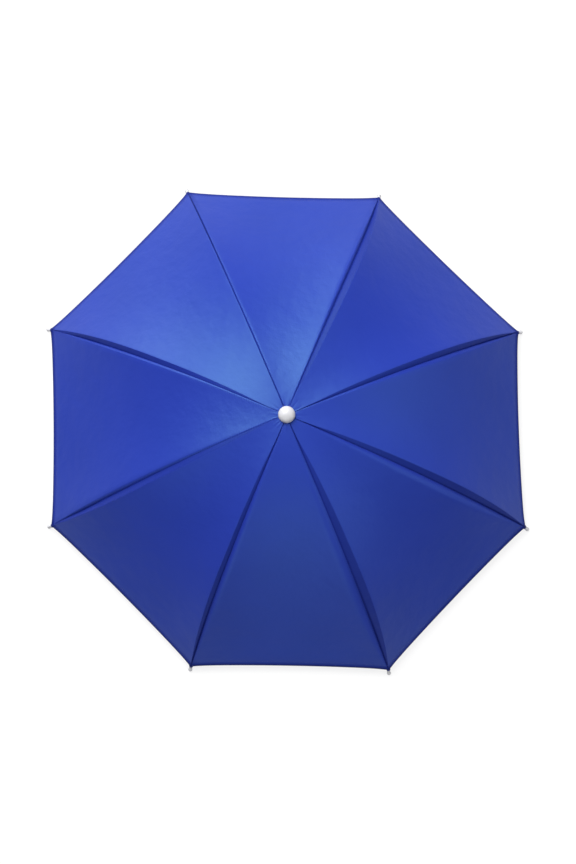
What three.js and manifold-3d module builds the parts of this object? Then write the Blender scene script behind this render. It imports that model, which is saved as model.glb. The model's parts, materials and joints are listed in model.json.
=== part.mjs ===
// An umbrella hat: a sewn cloth canopy of eight gores on eight steel ribs, and an elastic headband under it.
// Millimetres, +Z up. The crown stands over the origin and the eight rib tips rest on the plane z = 0.
import * as THREE from "three";
import { mergeVertices } from "three/addons/utils/BufferGeometryUtils.js";
import Module from "manifold-3d";

// Canopy cloth
const canopyReach = 280;
const canopyRise = 140;
const crownPeak = 0.12;
const ribBend = 2.3;
const clothWall = 1.2;
const hemWidth = 5;
const hemFold = 0.7;
const hemBow = 1;
const hemPull = 0.85;
const goreSag = 6;
const seamLean = 7;
const seamDip = 1.2;
const seamEdge = 0.5;
const seamShoulder = 1.5;

// Frame
const ribRadius = 1;
const ribStart = 6;
const tipLength = 8;
const tipRadius = 2.2;
const tipFootDepth = 0.35;
const tipWall = 1.5;
const collarRadius = 1.8;
const hubRadius = 12.5;
const hubHeight = 8;
const hubEdge = 1.5;
const capRadius = 8.8;
const capHeight = 7.5;
const capRim = 1.6;
const stemRadius = 2.6;
const stemLength = 7;

// Head fitting
const bandGirth = 550;
const bandHeight = 28;
const bandWall = 2.2;
const bandFloor = 10;
const loopWidth = 12;
const loopPlate = 1.4;
const socketRadius = 2.6;
const socketHeight = 12;
const socketBore = 9.6;
const strutRadius = 1;
const strutReach = 125;
const cradleLength = 7;
const cradlePlate = 1.1;

// Clearance between neighbouring pieces
const gap = 0.3;

// Each rib counter-clockwise from the first, with the degrees that it stands off the even spacing, its reach
// as a share of canopyReach, how far it has slipped off the seam to one side as a share of seamLean, how far
// the seam itself bows to that side in millimetres, and the hem's share of its bow and pull in the next gore.
const ribs = [
  { place: "right_up", turn: 0.1, reach: 0.986, lean: 0.8, bow: -0.7, hem: 0.3 },
  { place: "top_right", turn: 0.6, reach: 0.988, lean: -1, bow: -1.8, hem: 0.8 },
  { place: "top_left", turn: 0, reach: 1.018, lean: 0.15, bow: -0.5, hem: 1.1 },
  { place: "left_up", turn: -0.65, reach: 1.007, lean: -0.75, bow: -0.5, hem: 1 },
  { place: "left_low", turn: -0.15, reach: 0.991, lean: 0.95, bow: -0.2, hem: 0.75 },
  { place: "bottom_left", turn: 0.35, reach: 0.995, lean: -0.7, bow: -1.3, hem: 0.85 },
  { place: "bottom_right", turn: 0.15, reach: 1.016, lean: 1.3, bow: -0.6, hem: 0.9 },
  { place: "right_low", turn: -0.2, reach: 1.004, lean: 1.03, bow: -0.8, hem: 1.45 },
];

// Sections from the crown to the corner: the share of the way out, of goreSag and of a rib's lean.
const sections = [
  { along: 0, sag: 0, lean: 0 },
  { along: 0.06, sag: 0.02, lean: 0 },
  { along: 0.2, sag: 0.14, lean: 0.45 },
  { along: 0.35, sag: 0.36, lean: 0.8 },
  { along: 0.5, sag: 0.65, lean: 1 },
  { along: 0.75, sag: 1, lean: 1.08 },
  { along: 0.9, sag: 0.76, lean: 0.64 },
  { along: 1, sag: 0.25, lean: 0 },
];

// Where a gore's inner columns stand, as shares of its width between the seams.
const panelColumns = [0.06, 0.22, 0.4, 0.6, 0.78, 0.94];

// How sharply the hem runs out to each corner, and how soon its pull fades towards the crown.
const cornerSharpness = 20;
const pullFade = 3;

// The shares of the way out between which a rib sinks below the hem's fold.
const foldRun = { from: 0.88, to: 0.96 };

// How finely each piece is divided
const canopyRows = 13;
const ribSteps = 14;
const strutSteps = 9;
const wireSides = 6;
const facets = { tip: 8, cap: 20, hub: 24, band: 40, socket: 10, bore: 8 };
const tipArc = 6;
const capArc = 7;

const evenSpacing = (2 * Math.PI) / ribs.length;
const up = new THREE.Vector3(0, 0, 1);

// Smooth curves through the sections
const sectionShares = new THREE.CubicInterpolant(
  sections.map((row) => row.along),
  sections.flatMap((row) => [row.sag, row.lean]),
  2
);
const sagShare = (along) => sectionShares.evaluate(Math.min(along, 1))[0];
const leanShare = (along) => sectionShares.evaluate(Math.min(along, 1))[1];

// The rib line: its straight length, how far the cloth has dropped below the crown, and how steeply it falls.
const ribLine = Math.hypot(canopyReach, canopyRise);
const drop = (along) => canopyRise * (crownPeak * along + (1 - crownPeak) * along ** ribBend);
const steepness = (along) =>
  Math.atan((canopyRise / canopyReach) * (crownPeak + (1 - crownPeak) * ribBend * along ** (ribBend - 1)));

// The rib's middle lies under the cloth's outer face by its own radius, the wall, the hem's fold and the gap.
const ribDepth = (along) =>
  clothWall + gap + ribRadius + hemFold * THREE.MathUtils.smoothstep(along, foldRun.from, foldRun.to);
const cornerHeight =
  ribDepth(1) * Math.cos(steepness(1)) + tipLength * Math.sin(steepness(1)) + tipRadius - tipFootDepth;
const crownHeight = cornerHeight + canopyRise;

// Between two ribs the cloth lies lower than on them: its least height over a circle about the crown.
const leastReach = Math.min(...ribs.map((rib) => rib.reach));
const gorePlaceOf = (radius) => radius / (canopyReach * leastReach * Math.cos(evenSpacing / 2));
const clothUnderside = (radius) => crownHeight - drop(gorePlaceOf(radius)) - clothWall;

const azimuthOf = (index) => evenSpacing * (index + 0.5) + THREE.MathUtils.degToRad(ribs[index].turn);
const outwardAt = (azimuth) => new THREE.Vector3(Math.cos(azimuth), Math.sin(azimuth), 0);
const sidewaysAt = (azimuth) => new THREE.Vector3(-Math.sin(azimuth), Math.cos(azimuth), 0);

// The dome's outward direction at a place on it.
function domeNormal(point, along) {
  const flat = new THREE.Vector3(point.x, point.y, 0).normalize();
  return flat.multiplyScalar(Math.sin(steepness(along))).addScaledVector(up, Math.cos(steepness(along)));
}

// The ridge that a rib raises in the cloth's outer face.
function ridgePoint(index, along) {
  const azimuth = azimuthOf(index);
  const slip = ribs[index].lean * seamLean + ribs[index].bow;
  return outwardAt(azimuth)
    .multiplyScalar(along * canopyReach * ribs[index].reach)
    .addScaledVector(sidewaysAt(azimuth), slip * leanShare(along))
    .setZ(crownHeight - drop(along));
}

function ribPoint(index, along) {
  const ridge = ridgePoint(index, along);
  return ridge.addScaledVector(domeNormal(ridge, along), -ribDepth(along));
}

// One gore's points at a section, from the ridge of its first rib to just before the ridge of the next.
// A seam's stitch line runs beside its ridge, on the side that the rib has slipped away from.
function gorePoints(index, along) {
  const next = (index + 1) % ribs.length;
  const start = ridgePoint(index, along);
  const end = ridgePoint(next, along);
  const width = start.distanceTo(end);
  const inward = domeNormal(start.clone().lerp(end, 0.5), along).negate();
  const stitch = (rib) => (Math.abs(ribs[rib].lean * seamLean * leanShare(along)) + seamEdge) / width;
  const dip = (rib) => Math.abs(seamDip * ribs[rib].lean * leanShare(along));
  const columns = [{ across: 0, depth: 0 }];
  let panelStart = 0;
  let panelEnd = 1;
  if (ribs[index].lean < 0) {
    panelStart = stitch(index) * seamShoulder;
    columns.push({ across: stitch(index), depth: dip(index) }, { across: panelStart, depth: 0 });
  }
  const closing = [];
  if (ribs[next].lean > 0) {
    panelEnd = 1 - stitch(next) * seamShoulder;
    closing.push({ across: panelEnd, depth: 0 }, { across: 1 - stitch(next), depth: dip(next) });
  }
  for (const share of panelColumns) {
    const fromMiddle = Math.abs(2 * share - 1);
    const middle = 1 - fromMiddle ** 2;
    const hemPlace = ribs[index].hem * (hemBow * middle + hemPull * (1 - fromMiddle ** cornerSharpness));
    columns.push({
      across: THREE.MathUtils.lerp(panelStart, panelEnd, share),
      depth: goreSag * sagShare(along) * middle,
      pull: hemPlace * along ** pullFade,
    });
  }
  return [...columns, ...closing].map(({ across, depth, pull = 0 }) => {
    const point = start.clone().lerp(end, across).addScaledVector(inward, depth);
    const slope = steepness(along);
    const inwards = new THREE.Vector3(-point.x, -point.y, 0).normalize();
    return point.addScaledVector(inwards, pull * Math.cos(slope)).addScaledVector(up, pull * Math.sin(slope));
  });
}

const ringPoints = (along) => ribs.flatMap((rib, index) => gorePoints(index, along));

// A closed solid lofted through rings of as many points each, whose last ring joins the first.
function closedLoft(rings) {
  const around = rings[0].length;
  const corners = rings.flat().flatMap((point) => point.toArray());
  const faces = [];
  rings.forEach((ring, level) => {
    const above = ((level + 1) % rings.length) * around;
    for (let i = 0; i < around; i++) {
      const j = (i + 1) % around;
      const here = level * around;
      faces.push(here + i, above + i, above + j, here + i, above + j, here + j);
    }
  });
  const geometry = new THREE.BufferGeometry();
  geometry.setAttribute("position", new THREE.Float32BufferAttribute(corners, 3));
  geometry.setIndex(faces);
  return geometry;
}

// The canopy is open at the crown, where the cap's stem goes through, and has a folded hem at its edge.
function canopyGeometry() {
  const first = gorePlaceOf(stemRadius + gap);
  const hemStart = 1 - hemWidth / ribLine;
  const foldEnd = hemStart - (2 * hemFold) / ribLine;
  const rows = Array.from({ length: canopyRows }, (_, i) => ({
    along: THREE.MathUtils.lerp(first, foldEnd, i / (canopyRows - 1)),
    wall: clothWall,
  }));
  rows.push({ along: hemStart, wall: clothWall + hemFold }, { along: 1, wall: clothWall + hemFold });
  const outer = rows.map(({ along }) => ringPoints(along));
  const inner = rows.map(({ wall, along }, row) =>
    outer[row].map((point) => point.clone().addScaledVector(domeNormal(point, along), -wall))
  );
  return closedLoft([...outer, ...inner.reverse()]);
}

const wireSection = (radius, sides) => {
  const turn = (2 * Math.PI) / sides;
  const middle = new THREE.Vector2();
  const corner = (i) => new THREE.Vector2(radius, 0).rotateAround(middle, turn * i);
  return new THREE.Shape(Array.from({ length: sides }, (_, i) => corner(i)));
};
const wireGeometry = (points, radius, steps) =>
  new THREE.ExtrudeGeometry(wireSection(radius, wireSides), {
    steps,
    bevelEnabled: false,
    extrudePath: new THREE.CatmullRomCurve3(points, false, "centripetal"),
  });

// The direction in which a rib leaves the cloth at its corner: that of its last stretch, under the hem.
const beforeCorner = 1 - hemWidth / ribLine;
const ribEndDirection = (index) => ribPoint(index, 1).sub(ribPoint(index, beforeCorner)).normalize();
const tipBore = tipLength - tipRadius - tipWall;
const ribEndPoint = (index) => ribPoint(index, 1).addScaledVector(ribEndDirection(index), tipBore - gap);

function ribGeometry(index) {
  const first = ribStart / canopyReach;
  const stations = Array.from({ length: ribSteps }, (_, i) => i / (ribSteps - 1));
  const points = stations.map((share) => ribPoint(index, THREE.MathUtils.lerp(first, 1, share)));
  return wireGeometry([...points, ribEndPoint(index)], ribRadius, ribSteps);
}

const wasm = await Module();
wasm.setup();

function solidOf(geometry) {
  const bare = geometry.clone();
  bare.deleteAttribute("normal");
  bare.deleteAttribute("uv");
  const merged = mergeVertices(bare, 1e-4);
  return new wasm.Manifold(
    new wasm.Mesh({
      numProp: 3,
      vertProperties: new Float32Array(merged.attributes.position.array),
      triVerts: new Uint32Array(merged.index.array),
    })
  );
}

function geometryOf(solid) {
  const mesh = solid.getMesh();
  const geometry = new THREE.BufferGeometry();
  geometry.setAttribute("position", new THREE.Float32BufferAttribute(mesh.vertProperties, 3));
  geometry.setIndex(new THREE.BufferAttribute(mesh.triVerts, 1));
  return geometry;
}

const boxGeometry = (size, centre) => new THREE.BoxGeometry(...size).translate(...centre);
const standUp = (geometry) => geometry.rotateX(Math.PI / 2);
const arcPoints = (centre, radii, from, to, count) =>
  Array.from({ length: count }, (_, i) => {
    const angle = THREE.MathUtils.lerp(from, to, i / (count - 1));
    return new THREE.Vector2(centre.x + radii.x * Math.cos(angle), centre.y + radii.y * Math.sin(angle));
  });

// A rib tip: a collar over the rib's end and a round knob, with a small flat where the knob meets the ground.
function tipGeometry(index) {
  const collarStart = 2 * gap;
  const bore = ribRadius + gap;
  const neck = Math.asin(collarRadius / tipRadius);
  const knob = new THREE.Vector2(0, tipLength);
  const profile = [
    new THREE.Vector2(0, tipBore),
    new THREE.Vector2(bore, tipBore),
    new THREE.Vector2(bore, collarStart),
    new THREE.Vector2(collarRadius, collarStart),
    ...arcPoints(knob, new THREE.Vector2(tipRadius, tipRadius), neck - Math.PI / 2, Math.PI / 2, tipArc),
  ];
  profile[profile.length - 1].setX(0);
  const axis = new THREE.Quaternion().setFromUnitVectors(new THREE.Vector3(0, 1, 0), ribEndDirection(index));
  const place = new THREE.Matrix4().compose(ribPoint(index, 1), axis, new THREE.Vector3(1, 1, 1));
  const knobAndCollar = new THREE.LatheGeometry(profile, facets.tip).applyMatrix4(place);
  const block = 4 * tipLength;
  const centre = ribEndPoint(index).setZ(-block / 2).toArray();
  const below = boxGeometry([block, block, block], centre);
  return geometryOf(solidOf(knobAndCollar).subtract(solidOf(below)));
}

// The cap over the crown, with a stem that passes through the cloth into the hub.
function capGeometry() {
  const seat = (radius) => crownHeight - drop(radius / canopyReach) + gap;
  const brim = seat(capRadius) + capRim / 2;
  const dome = new THREE.Vector2(capRadius, capHeight - capRim / 2);
  const profile = [
    new THREE.Vector2(0, seat(0) - stemLength),
    new THREE.Vector2(stemRadius, seat(0) - stemLength),
    new THREE.Vector2(stemRadius, seat(stemRadius)),
    new THREE.Vector2(capRadius - capRim / 2, seat(capRadius)),
    ...arcPoints(new THREE.Vector2(0, brim), dome, 0, Math.PI / 2, capArc),
  ];
  profile[profile.length - 1].setX(0);
  return standUp(new THREE.LatheGeometry(profile, facets.cap));
}

// The hub under the crown: a bore for the cap's stem and a slot for each rib.
function hubGeometry() {
  const top = (radius) => clothUnderside(radius) - gap;
  const bore = stemRadius + gap;
  const floor = top(0) - hubHeight;
  const stemEnd = crownHeight + gap - stemLength;
  const boreFloor = Math.min(stemEnd - gap, floor + hubHeight / 2);
  const profile = [
    new THREE.Vector2(0, boreFloor),
    new THREE.Vector2(bore, boreFloor),
    new THREE.Vector2(bore, top(bore)),
    new THREE.Vector2(hubRadius, top(hubRadius)),
    new THREE.Vector2(hubRadius, floor + 2 * hubEdge),
    new THREE.Vector2(hubRadius - hubEdge, floor + hubEdge),
    new THREE.Vector2(hubRadius / 2, floor),
    new THREE.Vector2(0, floor),
  ];
  let hub = solidOf(standUp(new THREE.LatheGeometry(profile.reverse(), facets.hub)));
  const slotStart = ribStart - gap;
  const slotFloor = ribPoint(0, hubRadius / canopyReach).z - ribRadius - gap;
  const slotWidth = 2 * (ribRadius + gap);
  ribs.forEach((rib, index) => {
    const slotMiddle = slotStart + hubRadius / 2;
    const slot = boxGeometry([hubRadius, slotWidth, hubHeight], [slotMiddle, 0, slotFloor + hubHeight / 2]);
    hub = hub.subtract(solidOf(slot.rotateZ(azimuthOf(index))));
  });
  return geometryOf(hub);
}

// The headband: a ring of elastic webbing with softly rounded edges.
const bandRadius = bandGirth / (2 * Math.PI);
function bandGeometry() {
  const soft = bandWall / 3;
  const outside = bandRadius + bandWall;
  const top = bandFloor + bandHeight;
  const profile = [
    new THREE.Vector2(bandRadius, bandFloor + soft),
    new THREE.Vector2(bandRadius + soft, bandFloor),
    new THREE.Vector2(outside - soft, bandFloor),
    new THREE.Vector2(outside, bandFloor + soft),
    new THREE.Vector2(outside, top - soft),
    new THREE.Vector2(outside - soft, top),
    new THREE.Vector2(bandRadius + soft, top),
    new THREE.Vector2(bandRadius, top - soft),
    new THREE.Vector2(bandRadius, bandFloor + soft),
  ];
  return standUp(new THREE.LatheGeometry(profile, facets.band));
}

// A loop round the headband with a socket for a strut. Its own X axis points away from the head.
const bandBulge = bandRadius * (1 - Math.cos(loopWidth / 2 / bandRadius));
const loopInside = bandRadius - gap - bandBulge;
const loopOutside = bandRadius + bandWall + gap;
const socketReach = loopOutside + loopPlate + socketRadius - loopPlate / 2;
const socketTop = bandFloor + bandHeight / 2 + socketHeight / 2;
const socketFloor = socketTop - socketBore;

function loopGeometry(index) {
  const low = bandFloor - gap;
  const high = bandFloor + bandHeight + gap;
  const rectangle = (x0, x1, z0, z1) => [
    new THREE.Vector2(x0, z0),
    new THREE.Vector2(x1, z0),
    new THREE.Vector2(x1, z1),
    new THREE.Vector2(x0, z1),
  ];
  const innerFace = loopInside - loopPlate;
  const outerFace = loopOutside + loopPlate;
  const outline = rectangle(innerFace, outerFace, low - loopPlate, high + loopPlate);
  const frame = new THREE.Shape(outline);
  frame.holes.push(new THREE.Path(rectangle(loopInside, loopOutside, low, high)));
  const plates = new THREE.ExtrudeGeometry(frame, { depth: loopWidth, bevelEnabled: false });
  plates.translate(0, 0, -loopWidth / 2);
  standUp(plates);
  const boreRadius = strutRadius + gap;
  const post = standUp(new THREE.CylinderGeometry(socketRadius, socketRadius, socketHeight, facets.socket));
  post.translate(socketReach, 0, socketTop - socketHeight / 2);
  const bore = standUp(new THREE.CylinderGeometry(boreRadius, boreRadius, socketHeight, facets.bore));
  bore.translate(socketReach, 0, socketFloor + socketHeight / 2);
  const loop = solidOf(plates).add(solidOf(post)).subtract(solidOf(bore));
  return geometryOf(loop).rotateZ(azimuthOf(index));
}

// A strut from a cradle under the rib down to its socket on the headband.
function strutGeometry(index) {
  const along = strutReach / (canopyReach * ribs[index].reach);
  const seat = ribPoint(index, along);
  const beside = cradleLength / (2 * canopyReach);
  const forward = ribPoint(index, along + beside).sub(ribPoint(index, along - beside)).normalize();
  const sideways = new THREE.Vector3().crossVectors(up, forward).normalize();
  const above = new THREE.Vector3().crossVectors(forward, sideways);
  const slot = ribRadius + gap;
  const outer = slot + cradlePlate;
  const cradle = solidOf(boxGeometry([cradleLength, 2 * outer, outer], [0, 0, -outer / 2]));
  const channel = solidOf(boxGeometry([2 * cradleLength, 2 * slot, 2 * slot], [0, 0, 0]));
  const turned = new THREE.Matrix4().makeBasis(forward, sideways, above).setPosition(seat);
  const saddle = geometryOf(cradle.subtract(channel)).applyMatrix4(turned);
  const foot = outwardAt(azimuthOf(index)).multiplyScalar(socketReach).setZ(socketFloor + gap);
  const mouth = foot.clone().setZ(socketTop);
  const straight = mouth.clone().setZ(socketTop + socketHeight / 2);
  const head = seat.clone().addScaledVector(above, -slot - cradlePlate / 2);
  const wire = wireGeometry([head, straight, mouth, foot], strutRadius, strutSteps);
  return geometryOf(solidOf(saddle).add(solidOf(wire)));
}

// Finishes
const blueCloth = new THREE.MeshStandardMaterial({ color: 0x2a44b4, roughness: 0.7, metalness: 0 });
const whitePlastic = new THREE.MeshStandardMaterial({ color: 0xf2f2f0, roughness: 0.35, metalness: 0 });
const platedSteel = new THREE.MeshStandardMaterial({ color: 0xb9bcc2, roughness: 0.3, metalness: 1 });
const blackWebbing = new THREE.MeshStandardMaterial({ color: 0x1b1c22, roughness: 0.9, metalness: 0 });
const blackPlastic = new THREE.MeshStandardMaterial({ color: 0x202126, roughness: 0.45, metalness: 0 });

const hat = new THREE.Group();
function piece(name, geometry, material) {
  const mesh = new THREE.Mesh(geometry, material);
  mesh.name = name;
  hat.add(mesh);
}

piece("canopy", canopyGeometry(), blueCloth);
piece("crown_cap", capGeometry(), whitePlastic);
piece("hub", hubGeometry(), whitePlastic);
piece("headband", bandGeometry(), blackWebbing);
ribs.forEach(({ place }, index) => {
  piece(`rib_${place}`, ribGeometry(index), platedSteel);
  piece(`rib_tip_${place}`, tipGeometry(index), whitePlastic);
  piece(`strut_${place}`, strutGeometry(index), platedSteel);
  piece(`band_loop_${place}`, loopGeometry(index), blackPlastic);
});

export default hat;
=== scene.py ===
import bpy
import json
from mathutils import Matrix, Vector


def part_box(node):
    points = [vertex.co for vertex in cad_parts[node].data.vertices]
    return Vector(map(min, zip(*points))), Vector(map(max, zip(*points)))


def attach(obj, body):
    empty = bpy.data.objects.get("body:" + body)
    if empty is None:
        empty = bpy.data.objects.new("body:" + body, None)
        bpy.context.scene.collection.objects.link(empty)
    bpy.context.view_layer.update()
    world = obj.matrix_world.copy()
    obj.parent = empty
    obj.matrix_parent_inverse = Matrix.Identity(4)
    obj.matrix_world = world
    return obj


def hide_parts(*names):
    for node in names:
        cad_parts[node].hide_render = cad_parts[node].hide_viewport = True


bl_info = {
    "name": "Umbrella hat",
    "version": (1, 0, 0),
    "blender": (4, 5, 0),
    "location": "3D View > Sidebar > Hat",
    "description": "Sewn cloth, ribs, tips, cap, headband and stage around the frame of an umbrella hat",
    "category": "Object",
}

import json
import math

import bpy
import numpy as np
from bpy.props import FloatProperty, FloatVectorProperty, PointerProperty
from mathutils import Matrix, Vector

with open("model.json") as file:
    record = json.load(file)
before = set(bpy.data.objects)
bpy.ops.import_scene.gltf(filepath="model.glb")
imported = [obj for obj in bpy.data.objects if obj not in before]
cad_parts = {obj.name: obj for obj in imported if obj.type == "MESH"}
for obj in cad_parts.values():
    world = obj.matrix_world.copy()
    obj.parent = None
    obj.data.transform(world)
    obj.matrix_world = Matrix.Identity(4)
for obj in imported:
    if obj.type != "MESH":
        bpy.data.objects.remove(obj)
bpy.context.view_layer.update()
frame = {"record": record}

MM = 0.001


def read_table(text):
    """Rows of a table with named columns. The columns place and light hold words, the rest hold numbers."""
    names, *rows = [line.split() for line in text.strip().splitlines()]
    return [{n: v if n in ("place", "light") else float(v) for n, v in zip(names, row)} for row in rows]


# Each rib counter-clockwise from the first: the degrees that it stands off the even spacing, its reach as a
# share of the canopy's, how far it has slipped off the seam as a share of the seam's lean, the millimetres
# that the seam itself bows to that side, and the hem's share of its bow and pull in the gore that follows.
# Then how the cloth lies there: how late it falls from the ridge to the stitch line (1 is straight, above 1
# late), where it has come up again beyond that line, in distances from the ridge to it, how late along the
# rib the dip grows, and how dark the painted shade along the stitches is, which also sets how deep their
# groove is.
RIBS = read_table("""
place         turn   reach  lean   bow   hem   flank  shoulder  late  line
right_up      0.1    0.986  0.8    -0.7  0.3   1.3    1.7       1     0.55
top_right     0.6    0.988  -1     -1.8  0.8   0.85   1.4       1     0.45
top_left      0      1.018  0.15   -0.5  1.1   1      2         1     1.3
left_up       -0.65  1.007  -0.75  -0.5  1     0.9    1.4       4.5   0.45
left_low      -0.15  0.991  0.95   -0.2  0.75  1.1    1.5       2     0.42
bottom_left   0.35   0.995  -0.7   -1.3  0.85  1      2         1     1.1
bottom_right  0.15   1.016  1.3    -0.6  0.9   1      2         1     1.2
right_low     -0.2   1.004  1.03   -0.8  1.45  1      2         1     1
""")
PLACES = [rib["place"] for rib in RIBS]

# Sections from the crown to the corner: the share of the way out, of the gores' sag, of a rib's lean, of the
# seams' dip and of the painted shade along the stitches.
SECTIONS = read_table("""
along  sag   lean  dip   line
0      0     0     0     0.5
0.06   0.02  0     0.1   0.8
0.2    0.14  0.45  0.35  0.6
0.35   0.36  0.8   0.65  0.3
0.5    0.65  1     0.9   0.4
0.75   1     1.08  1     1.1
0.9    0.76  0.64  0.85  1.5
1      0.25  0     0     1.5
""")

# How sharply the hem runs out to each corner, how soon its pull fades towards the crown, and the shares of
# the way out between which a rib sinks below the hem's fold.
CORNER_SHARPNESS = 20
PULL_FADE = 3
FOLD_RUN = (0.88, 0.96)

# The round softboxes: their width and distance in metres, and where they stand in degrees.
LIGHTS = read_table("""
light  size  azimuth  elevation  distance
key    1.3   114      58         2.3
wide   2.6   118      52         2.8
low    1.4   112      16         2.6
right  2.8   -5       38         3
front  2.8   -95      38         3
""")


def srgb(code):
    """The linear colour of an sRGB hex value such as "2a44b4"."""
    channels = [int(code[i : i + 2], 16) / 255 for i in (0, 2, 4)]
    return [c / 12.92 if c <= 0.04045 else ((c + 0.055) / 1.055) ** 2.4 for c in channels]


def smooth(t):
    t = np.clip(t, 0, 1)
    return t * t * (3 - 2 * t)


def curve(places, values, at):
    """A smooth curve through rows of values at rising places, as steep at each as its two sides' mean."""
    slopes = np.diff(values, axis=0) / np.diff(places)[:, None]
    tangents = np.concatenate([slopes[:1], (slopes[1:] + slopes[:-1]) / 2, slopes[-1:]])
    i = np.clip(np.searchsorted(places, at, side="right") - 1, 0, len(slopes) - 1)
    run = np.asarray(places[i + 1] - places[i])[..., None]
    t = np.asarray(at - places[i])[..., None] / run
    start = (1 + 2 * t) * (1 - t) ** 2 * values[i] + t * (1 - t) ** 2 * run * tangents[i]
    end = t**2 * (3 - 2 * t) * values[i + 1] + t**2 * (t - 1) * run * tangents[i + 1]
    return start + end


def length(name, description, millimetres):
    return FloatProperty(name=name, description=description, default=millimetres * MM, unit="LENGTH")


def share(name, description, value):
    return FloatProperty(name=name, description=description, default=value, min=0.0, subtype="FACTOR")


def power(name, description, watts):
    return FloatProperty(name=name, description=description, default=watts, unit="POWER")


def colour(name, description, code):
    return FloatVectorProperty(
        name=name, description=description, default=srgb(code), subtype="COLOR", size=3, min=0.0, max=1.0
    )


class HatClothSizes(bpy.types.PropertyGroup):
    """Sizes of the sewn canopy"""

    reach: length("Reach", "From the crown to a rib's end, seen from above", 280)
    rise: length("Rise", "How far the crown stands above the rib ends", 140)
    peak: share("Peak", "Share of the rise that is a straight slope, which leaves a slight point", 0.12)
    bend: FloatProperty(name="Bend", description="How late the ribs curve down", default=2.3)
    wall: length("Wall", "From the cloth's outer face to its inner one in the frame", 1.2)
    thickness: length("Cloth thickness", "Thickness of the woven cloth", 0.35)
    gore_sag: length("Gore sag", "How far a gore's middle lies below the line between its ribs", 6)
    seam_lean: length("Seam lean", "How far a rib can slip to the side of its seam", 7)
    seam_edge: length("Seam edge", "Least distance from a rib's ridge to the stitch line", 0.5)
    seam_dip: length("Seam dip", "How far the stitch line lies below the rib's ridge", 3.2)
    groove_depth: length("Groove depth", "Depth of the fine groove along the stitch line", 0.6)
    groove_width: length("Groove width", "Width of the fine groove along the stitch line", 1.2)
    line_width: length("Line width", "Width of the shaded line along the stitches", 1.8)
    ridge_round: length("Ridge rounding", "Radius with which the cloth turns over a rib", 1.2)
    hem_width: length("Hem width", "Width of the hem that is folded under", 5)
    hem_fold: length("Hem fold", "Extra wall that the frame gives to the hem", 0.7)
    hem_bow: length("Hem bow", "How far a hem's middle bows in between two corners", 1)
    hem_pull: length("Hem pull", "How far a whole hem lies inside the line between two corners", 0.85)
    hem_roll: length("Hem roll", "How far the hem's edge rolls under", 0.8)
    hem_turn: length("Hem turn", "From the hem's outer face to its folded-under face", 0.85)
    allowance: length("Seam allowance", "Width of the cloth beyond a seam's stitches, on the inside", 7)
    stitch: length("Stitch", "Length of a stitch with the space after it", 2.5)
    thread: length("Thread", "Radius of the sewing thread", 0.16)


class HatFrameSizes(bpy.types.PropertyGroup):
    """Sizes of the ribs, tips, struts and headband"""

    gap: length("Gap", "Clearance between neighbouring pieces", 0.3)
    rib_radius: length("Rib radius", "Radius of the rib wire", 1.0)
    rib_start: length("Rib start", "Distance of a rib's inner end from the middle", 6)
    tip_length: length("Tip length", "From the cloth's corner to the middle of the knob", 8)
    tip_radius: length("Knob radius", "Radius of the knob on a rib's tip", 2.2)
    tip_wall: length("Tip wall", "Plastic between the rib's end and the knob", 1.5)
    tip_foot: length("Tip foot", "How much the small flat under a knob takes off it", 0.35)
    collar_radius: length("Collar radius", "Radius of the collar over a rib's end", 1.8)
    strut_radius: length("Strut radius", "Radius of the strut wire", 1.0)
    strut_reach: length("Strut reach", "Where a strut meets its rib, from the middle", 125)
    cradle_length: length("Cradle length", "Length of the cradle that holds a rib", 7)
    cradle_plate: length("Cradle plate", "Thickness of the cradle's sheet", 1.1)
    loop_width: length("Loop width", "Width of a loop on the headband", 12)
    loop_plate: length("Loop plate", "Thickness of a loop's walls", 1.4)
    socket_radius: length("Socket radius", "Radius of the socket that a strut stands in", 2.6)
    socket_height: length("Socket height", "Height of that socket", 12)
    socket_bore: length("Socket bore", "Depth of the bore in that socket", 9.6)


class HatColours(bpy.types.PropertyGroup):
    """Colours of the finishes"""

    cloth: colour("Cloth", "Dyed polyester cloth", "213190")
    cloth_deep: colour("Cloth, deep", "Where the dye reads deeper", "1f2f8c")
    thread: colour("Thread", "Sewing thread", "182574")
    plastic: colour("White plastic", "Moulded white plastic", "b2b2b6")
    steel: colour("Steel", "Zinc-plated wire", "b9bcc2")
    webbing: colour("Webbing", "Elastic webbing", "1b1c22")
    dark_plastic: colour("Dark plastic", "Moulded black plastic", "202126")
    floor: colour("Floor", "Opal acrylic table", "686868")


class HatStageSettings(bpy.types.PropertyGroup):
    """Light"""

    key_power: power("Key light", "Power of the main softbox", 42)
    wide_power: power("Wide light", "Power of the large softbox", 74)
    low_power: power("Low light", "Power of the low softbox", 40)
    right_power: power("Right light", "Power of the right softbox", 32)
    front_power: power("Front light", "Power of the front softbox", 33)
    sky: FloatProperty(name="Sky", description="Strength of the even light from all round", default=0.03)


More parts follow.
